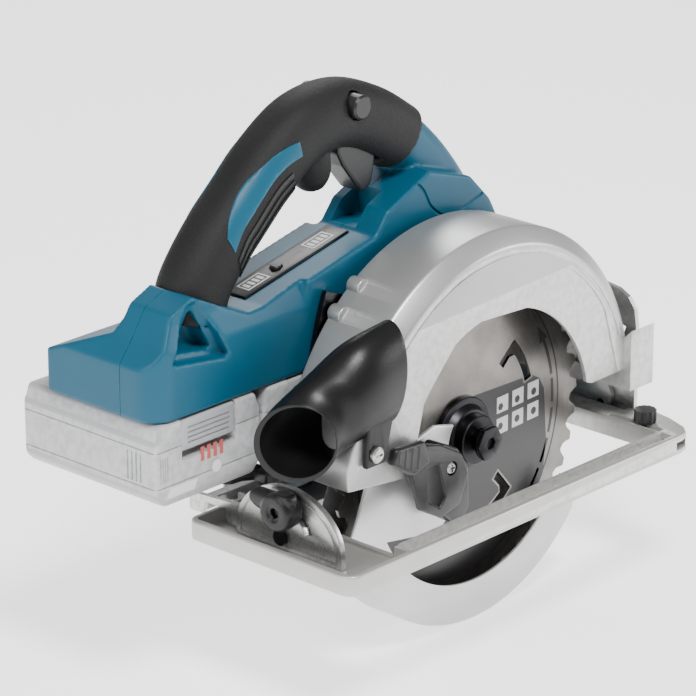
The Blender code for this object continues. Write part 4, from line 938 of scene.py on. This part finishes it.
def build_base():
    """Cast base: rim, floor, blade opening, grooved rail and the fence slot."""
    top = BASE_HIGH.z
    right = BASE_LOW.y
    base = prism("base_casting", base_outline(0.0), 0.0, top, "Z")
    soften(base, 1.3, 4, 60.0)
    rear_pan = [
        (-147.8, right + 5.0), (-146.0, right + 3.2), (-107.0, right + 3.2),
        (-107.0, -0.2), (-146.0, -0.2), (-147.8, -2.0),
    ]
    cut(
        base,
        soften(prism("rear_pan", rear_pan, FLOOR_Z, 20.0, "Z"), 1.2, 3, 50.0),
        box("left_pan", -108.0, 102.0, -24.0, BASE_HIGH.y - 3.2, FLOOR_Z, 20.0),
        box("rail_groove", -104.5, 104.0, right + 2.6, -100.0, 7.0, 20.0),
        box("blade_way", -104.0, 102.0, -97.0, -18.0, -5.0, 20.0),
        box("cross_groove", 103.8, 108.2, -98.0, -62.0, 8.8, 20.0),
        box("rear_step", -108.0, -103.0, -98.0, -18.0, 5.5, 20.0),
        box("front_pan", 116.4, 124.4, -64.0, -35.5, FLOOR_Z, 20.0),
        box("fence_way", 104.0, 115.0, right - 5.0, -60.0, 3.0, 7.4),
        disc("screw_way", *FENCE_SCREW, 2.5, 5.0, 20.0, "Z", 40),
    )
    for k in range(3):
        y = right + 4.0 + 2.0 * k
        cut(base, box("fine_groove", -103.0, 102.0, y, y + 0.8, 6.6, 8.0))
    soften(base, 0.45, 2, 40.0)
    put(base, "base", "cast_aluminium", BASE_METAL, "base_plate")


def knob_petal(y, z, turn, reach):
    """One arm of the wing knob, pointing a given way round its axis."""
    c = math.cos(turn)
    s = math.sin(turn)
    stations = ((0.0, 7.0), (reach * 0.5, 6.0), (reach * 0.85, 5.0), (reach, 2.6))
    sections = []
    for t, wide in stations:
        center = Vector((-142.4, y + c * t, z + 4.0 + s * t - 1.5))
        sections.append((center, Vector((4.4 - 0.05 * t, 0.0, 0.0)), Vector((0.0, -s, c)) * wide))
    return loft("petal", sections, 36, 2.4, 4)


def build_bevel_knob():
    """Wing knob of the rear bevel clamp."""
    low, high = span("bevel_knob")
    ang = math.radians(CLAMP_ANGLE)
    y = BLADE_Y - CLAMP_R * math.sin(ang)
    z = BEVEL_Z + CLAMP_R * math.cos(ang)
    profile = [
        (2.1, -127.0), (2.1, -135.0), (8.6, -135.0), (9.6, -136.2), (10.2, -144.6),
        (9.4, -146.6), (8.0, -147.4), (4.6, -147.4), (3.9, -146.4),
    ]
    knob = lathe("bevel_knob_wing", profile, y, z, "X", 64)
    for turn, reach in ((0.12, 18.0), (2.3, 11.0), (-1.8, 10.0)):
        add(knob, knob_petal(y, z, turn, reach))
    keep(knob, box("limits", low.x, high.x, low.y, high.y, low.z, high.z))
    cut(knob, disc("eye", y, z, 2.6, -150.0, -143.0, "X", 32))
    melt(knob, 0.5, 3)
    put(knob, "rear_bevel_clamp", "black_plastic", GLOSS, "bevel_knob", angle=50.0)


def build_depth_lever():
    """Depth clamp lever with its ribbed pad."""
    profile = [(3.0, -33.8), (3.0, -25.0), (5.6, -25.0), (5.6, -15.2)]
    lever = lathe("depth_lever_body", profile, *DEPTH_BOLT, "Y", 64)
    arm = prism("arm", [(-85.0, 24.0), (-84.0, 34.0), (-122.0, 34.0), (-122.0, 27.0)], -25.0, -15.2, "Y")
    pad = [
        (-137.6, -8.0), (-134.0, -13.0), (-127.0, -13.6), (-121.0, -17.4), (-114.5, -16.6),
        (-112.0, 11.6), (-120.0, 12.4), (-127.0, 16.0), (-136.6, 17.4), (-138.0, 8.0),
    ]
    add(lever, soften(arm, 1.8, 4), soften(prism("pad", pad, 27.7, 34.7, "Z"), 2.4, 4))
    for k in range(4):
        y = -11.0 + 7.0 * k
        gap = [Vector((-142.0, y, 35.4)), Vector((-128.0, y + 1.0, 35.0)), Vector((-112.0, y, 35.4))]
        cut(lever, tube("rib_gap", gap, 1.3))
    soften(lever, 0.3, 2, 45.0)
    put(lever, "depth_clamp", "black_plastic", BLACK, "depth_lever")


def build_quadrant():
    """Rear quadrant: half-round plate with its curved slot and a groove along its edge."""
    def half_round(wide, tall, foot, z):
        top = [(-52.0 + wide * a, 9.0 + tall * b) for a, b in arc(0.0, 0.0, 1.0, 0.0, 180.0, 64)]
        return top + [(-52.0 - foot, z), (-52.0 + foot, z)]

    plate = prism("rear_quadrant_plate", half_round(36.0, 29.0, 36.0, 3.8), -134.5, -131.2, "X")
    slot = arc(BLADE_Y, BEVEL_Z, CLAMP_R + 2.9, 103.0, 162.0, 30)
    slot += arc(BLADE_Y, BEVEL_Z, CLAMP_R - 2.9, 162.0, 103.0, 30)
    pivot = disc("pivot", BLADE_Y, BEVEL_Z, 3.0, -140.0, -125.0, "X", 40)
    cut(plate, prism("slot", slot, -140.0, -125.0, "X"), pivot)
    line = prism("line", half_round(33.0, 26.0, 33.0, 6.0), -136.0, -134.1, "X")
    cut(line, prism("core", half_round(32.0, 25.0, 32.0, 7.0), -138.0, -132.0, "X"))
    cut(plate, line)
    soften(plate, 0.5, 3, 40.0)
    put(plate, "base", "plated_steel", STEEL, "rear_quadrant")


# ------------------------------------------------------------------------ packs
def build_pack(name, button, body, button_body):
    """Battery pack: rounded shell with its parting step, side grips, gauge and release button."""
    low, high = span(name)
    rear, front = low.x, high.x
    middle = (rear + front) / 2.0
    side = [
        (rear, low.z + 6.0), (rear + 6.0, low.z), (front - 6.0, low.z), (front, low.z + 6.0),
        (front, 71.5), (front - 1.6, 73.6), (front - 3.4, high.z), (rear + 3.4, high.z),
        (rear + 1.6, 73.6), (rear, 71.5),
    ]
    shell = prism(name + "_shell", side, low.y, high.y, "Y")
    soften(shell, 3.4, 5, 24.0)
    bed = box("button_bed", middle - 19.0, middle + 19.0, low.y - 6.0, low.y + 7.0, 58.0, 90.0)
    cut(
        shell,
        box("rail_way", rear + 17.0, front - 19.5, -14.0, 100.0, 76.0, 90.0),
        soften(bed, 1.0, 3),
    )
    for level in (47.0, 66.0):
        ring = box("line", rear - 5.0, front + 5.0, low.y - 5.0, high.y + 5.0, level, level + 0.7)
        cut(ring, box("heart", rear + 0.6, front - 0.6, low.y + 0.6, high.y - 0.6, 0.0, 100.0))
        cut(shell, ring)
    for k in range(4):
        x = rear + 3.0 + 1.6 * k
        cut(shell, box("corner_rib", x, x + 0.7, low.y - 1.0, low.y + 0.5, 50.0, 63.0))
        y = low.y + 10.0 + 3.0 * k
        cut(shell, box("side_rib", rear - 1.0, rear + 0.7, y, y + 1.2, 49.0, 64.0))
    soften(shell, 0.3, 2, 45.0)
    put(shell, body, "pack_shell", PACK, name)
    face = low.y - 0.08
    stripe = [(rear + 7.0, 41.0), (rear + 26.0, 41.0), (rear + 29.0, 46.0), (rear + 10.0, 46.0)]
    put(prism(name + "_stripe", stripe, face, low.y + PRINT_DEEP, "Y"), body, "pack_shell", PACK_PALE)
    for k in range(4):
        x = rear + 31.0 + 4.4 * k
        bar = soften(box(f"{name}_gauge_{k}", x, x + 2.4, face, low.y + PRINT_DEEP, 54.0, 61.5), 0.02, 1)
        put(bar, body, "pack_shell", RED)
    profile = [(3.2, low.y + 0.4), (3.2, low.y - 0.05), (2.6, low.y - 0.1)]
    dot = lathe(name + "_check", profile, rear + 42.0, 48.5, "Y", 48)
    put(dot, body, "pack_shell", PACK_PALE)
    b_low, b_high = span(button)
    cap = box(button + "_cap", b_low.x, b_high.x, b_low.y, b_high.y, b_low.z, b_high.z)
    soften(cap, 1.4, 4)
    for k in range(4):
        z = b_low.z + 3.4 + 2.6 * k
        cut(cap, box("grip_line", b_low.x + 4.0, b_high.x - 4.0, b_low.y - 1.0, b_low.y + 0.6, z, z + 1.0))
    put(cap, button_body, "pack_button", PACK, button)


# --------------------------------------------------- carried-over parts, set dressing
def dress(material, names, width=0.4):
    """Gives CAD nodes a material, fine rounded edges and crisp shading."""
    for name in names:
        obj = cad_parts[name]
        obj.data.materials.clear()
        obj.data.materials.append(material)
        if width:
            mod = obj.modifiers.new("edge", "BEVEL")
            mod.width = width * MM
            mod.segments = 3
            mod.limit_method = "ANGLE"
            mod.angle_limit = math.radians(35.0)
            mod.harden_normals = True


def build_cap():
    """Left end of the motor barrel with its cooling slots."""
    profile = [
        (31.5, DECK_LEFT + 0.3), (31.5, 62.5), (30.8, 64.6), (27.6, 71.2),
        (26.2, 72.4), (18.4, 74.8), (17.4, 75.0),
    ]
    cap = lathe("motor_cap_shell", profile, MOTOR_X, MOTOR_Z, "Y", 128)
    cut(cap, disc("hollow", MOTOR_X, MOTOR_Z, 25.0, 40.0, 69.0, "Y"))
    for k in range(8):
        ang = 2.0 * math.pi * (k + 0.5) / 8
        c = math.cos(ang)
        s = math.sin(ang)
        ends = arc(10.0, 0.0, 2.0, 90.0, 270.0, 10) + arc(18.0, 0.0, 2.0, -90.0, 90.0, 10)
        slot = [(MOTOR_X + a * c - b * s, MOTOR_Z + a * s + b * c) for a, b in ends]
        cut(cap, prism("slot", slot, 60.0, 90.0, "Y"))
    soften(cap, 0.5, 3, 40.0)
    put(cap, "saw_body", "teal_plastic", TEAL, "motor_cap")


def build_camera():
    """Camera at the height and turn that show the right side, rear and top."""
    yaw = math.radians(47.28)
    pitch = math.radians(20.32)
    right = Vector((math.cos(yaw), -math.sin(yaw), 0.0))
    ahead = Vector((math.sin(yaw) * math.cos(pitch), math.cos(yaw) * math.cos(pitch), -math.sin(pitch)))
    above = right.cross(ahead)
    place = Vector((-1.3602, -1.2242, 0.7396))
    camera = bpy.data.objects.new("camera", bpy.data.cameras.new("camera"))
    camera.matrix_world = Matrix((
        (right.x, above.x, -ahead.x, place.x),
        (right.y, above.y, -ahead.y, place.y),
        (right.z, above.z, -ahead.z, place.z),
        (0.0, 0.0, 0.0, 1.0),
    ))
    camera.data.sensor_width = 36.0
    camera.data.lens = 191.9
    camera.data.clip_end = 50.0
    bpy.context.scene.collection.objects.link(camera)
    bpy.context.scene.camera = camera


def build_light(name, place, aim, size, power):
    """Soft area light aimed at a point, metres."""
    data = bpy.data.lights.new(name, "AREA")
    data.shape = "DISK"
    data.size = size
    data.energy = power
    lamp = bpy.data.objects.new(name, data)
    lamp.location = place
    lamp.rotation_euler = (Vector(aim) - Vector(place)).to_track_quat("-Z", "Y").to_euler()
    bpy.context.scene.collection.objects.link(lamp)


def build_studio():
    """Pale floor under the saw and soft light from all round."""
    world = bpy.data.worlds.new("studio")
    world.use_nodes = True
    world.node_tree.nodes["Background"].inputs["Color"].default_value = (1.0, 1.0, 1.0, 1.0)
    world.node_tree.nodes["Background"].inputs["Strength"].default_value = 0.45
    bpy.context.scene.world = world
    level = (GUARD_LOW.z - 0.3) * MM
    bm = bmesh.new()
    for x, y in ((-6.0, -6.0), (6.0, -6.0), (6.0, 6.0), (-6.0, 6.0)):
        bm.verts.new((x, y, level))
    bm.faces.new(bm.verts[:])
    mesh = bpy.data.meshes.new("floor")
    bm.to_mesh(mesh)
    bm.free()
    floor = bpy.data.objects.new("floor", mesh)
    bpy.context.scene.collection.objects.link(floor)
    mat = surface("floor_paper", (0.90, 0.90, 0.90), (0.88, 0.88, 0.88), 0.75, height=0.0, patch=0.6)
    paper = mat.node_tree.nodes["Principled BSDF"]
    paper.inputs["Emission Color"].default_value = (1.0, 1.0, 1.0, 1.0)
    paper.inputs["Emission Strength"].default_value = 1.3
    floor.data.materials.append(mat)
    middle = (-0.03, -0.02, 0.06)
    build_light("key", (-0.5, -0.9, 1.7), middle, 0.6, 44.0)
    build_light("fill", (-1.7, 0.2, 0.9), middle, 0.9, 16.0)
    build_light("rim", (0.9, 1.0, 1.1), middle, 0.6, 9.0)
    build_light("front", (1.2, -1.0, 0.5), middle, 0.6, 12.0)


build_camera()
build_studio()
build_housing()
build_grip()
build_panel()
build_case()
build_guard()
build_guard_lever()
build_blade()
build_blade_print()
build_flange()
build_nozzle()
build_base()
build_bevel_knob()
build_depth_lever()
build_quadrant()
build_cap()
build_pack("battery_rear", "release_rear", "rear_pack", "rear_pack_release")
build_pack("battery_front", "release_front", "front_pack", "front_pack_release")

dress(STEEL, ("front_quadrant", "rear_bracket", "front_bracket"))
dress(STEEL, ("front_bearing", "rear_bearing", "lever_screw", "nozzle_screw"))
dress(STEEL, ("spindle_gear", "motor_pinion", "tilt_rail"), 0.25)
dress(GUNMETAL, ("spindle", "inner_flange", "rotor", "depth_guide"), 0.3)
dress(GUNMETAL, ("rear_pivot_pin", "front_pivot_pin", "depth_pin"), 0.3)
dress(BLACK, ("trigger", "lock_off_button", "bevel_lever", "fence_screw", "shaft_lock", "motor_fan"), 0.5)
dress(BLACK, ("terminal_block_rear", "terminal_block_front"), 0.3)
dress(COPPER, ("stator",), 0.4)
dress(BOARD, ("control_board",), 0.2)
dress(SILVER, ("gear_case",), 0.5)
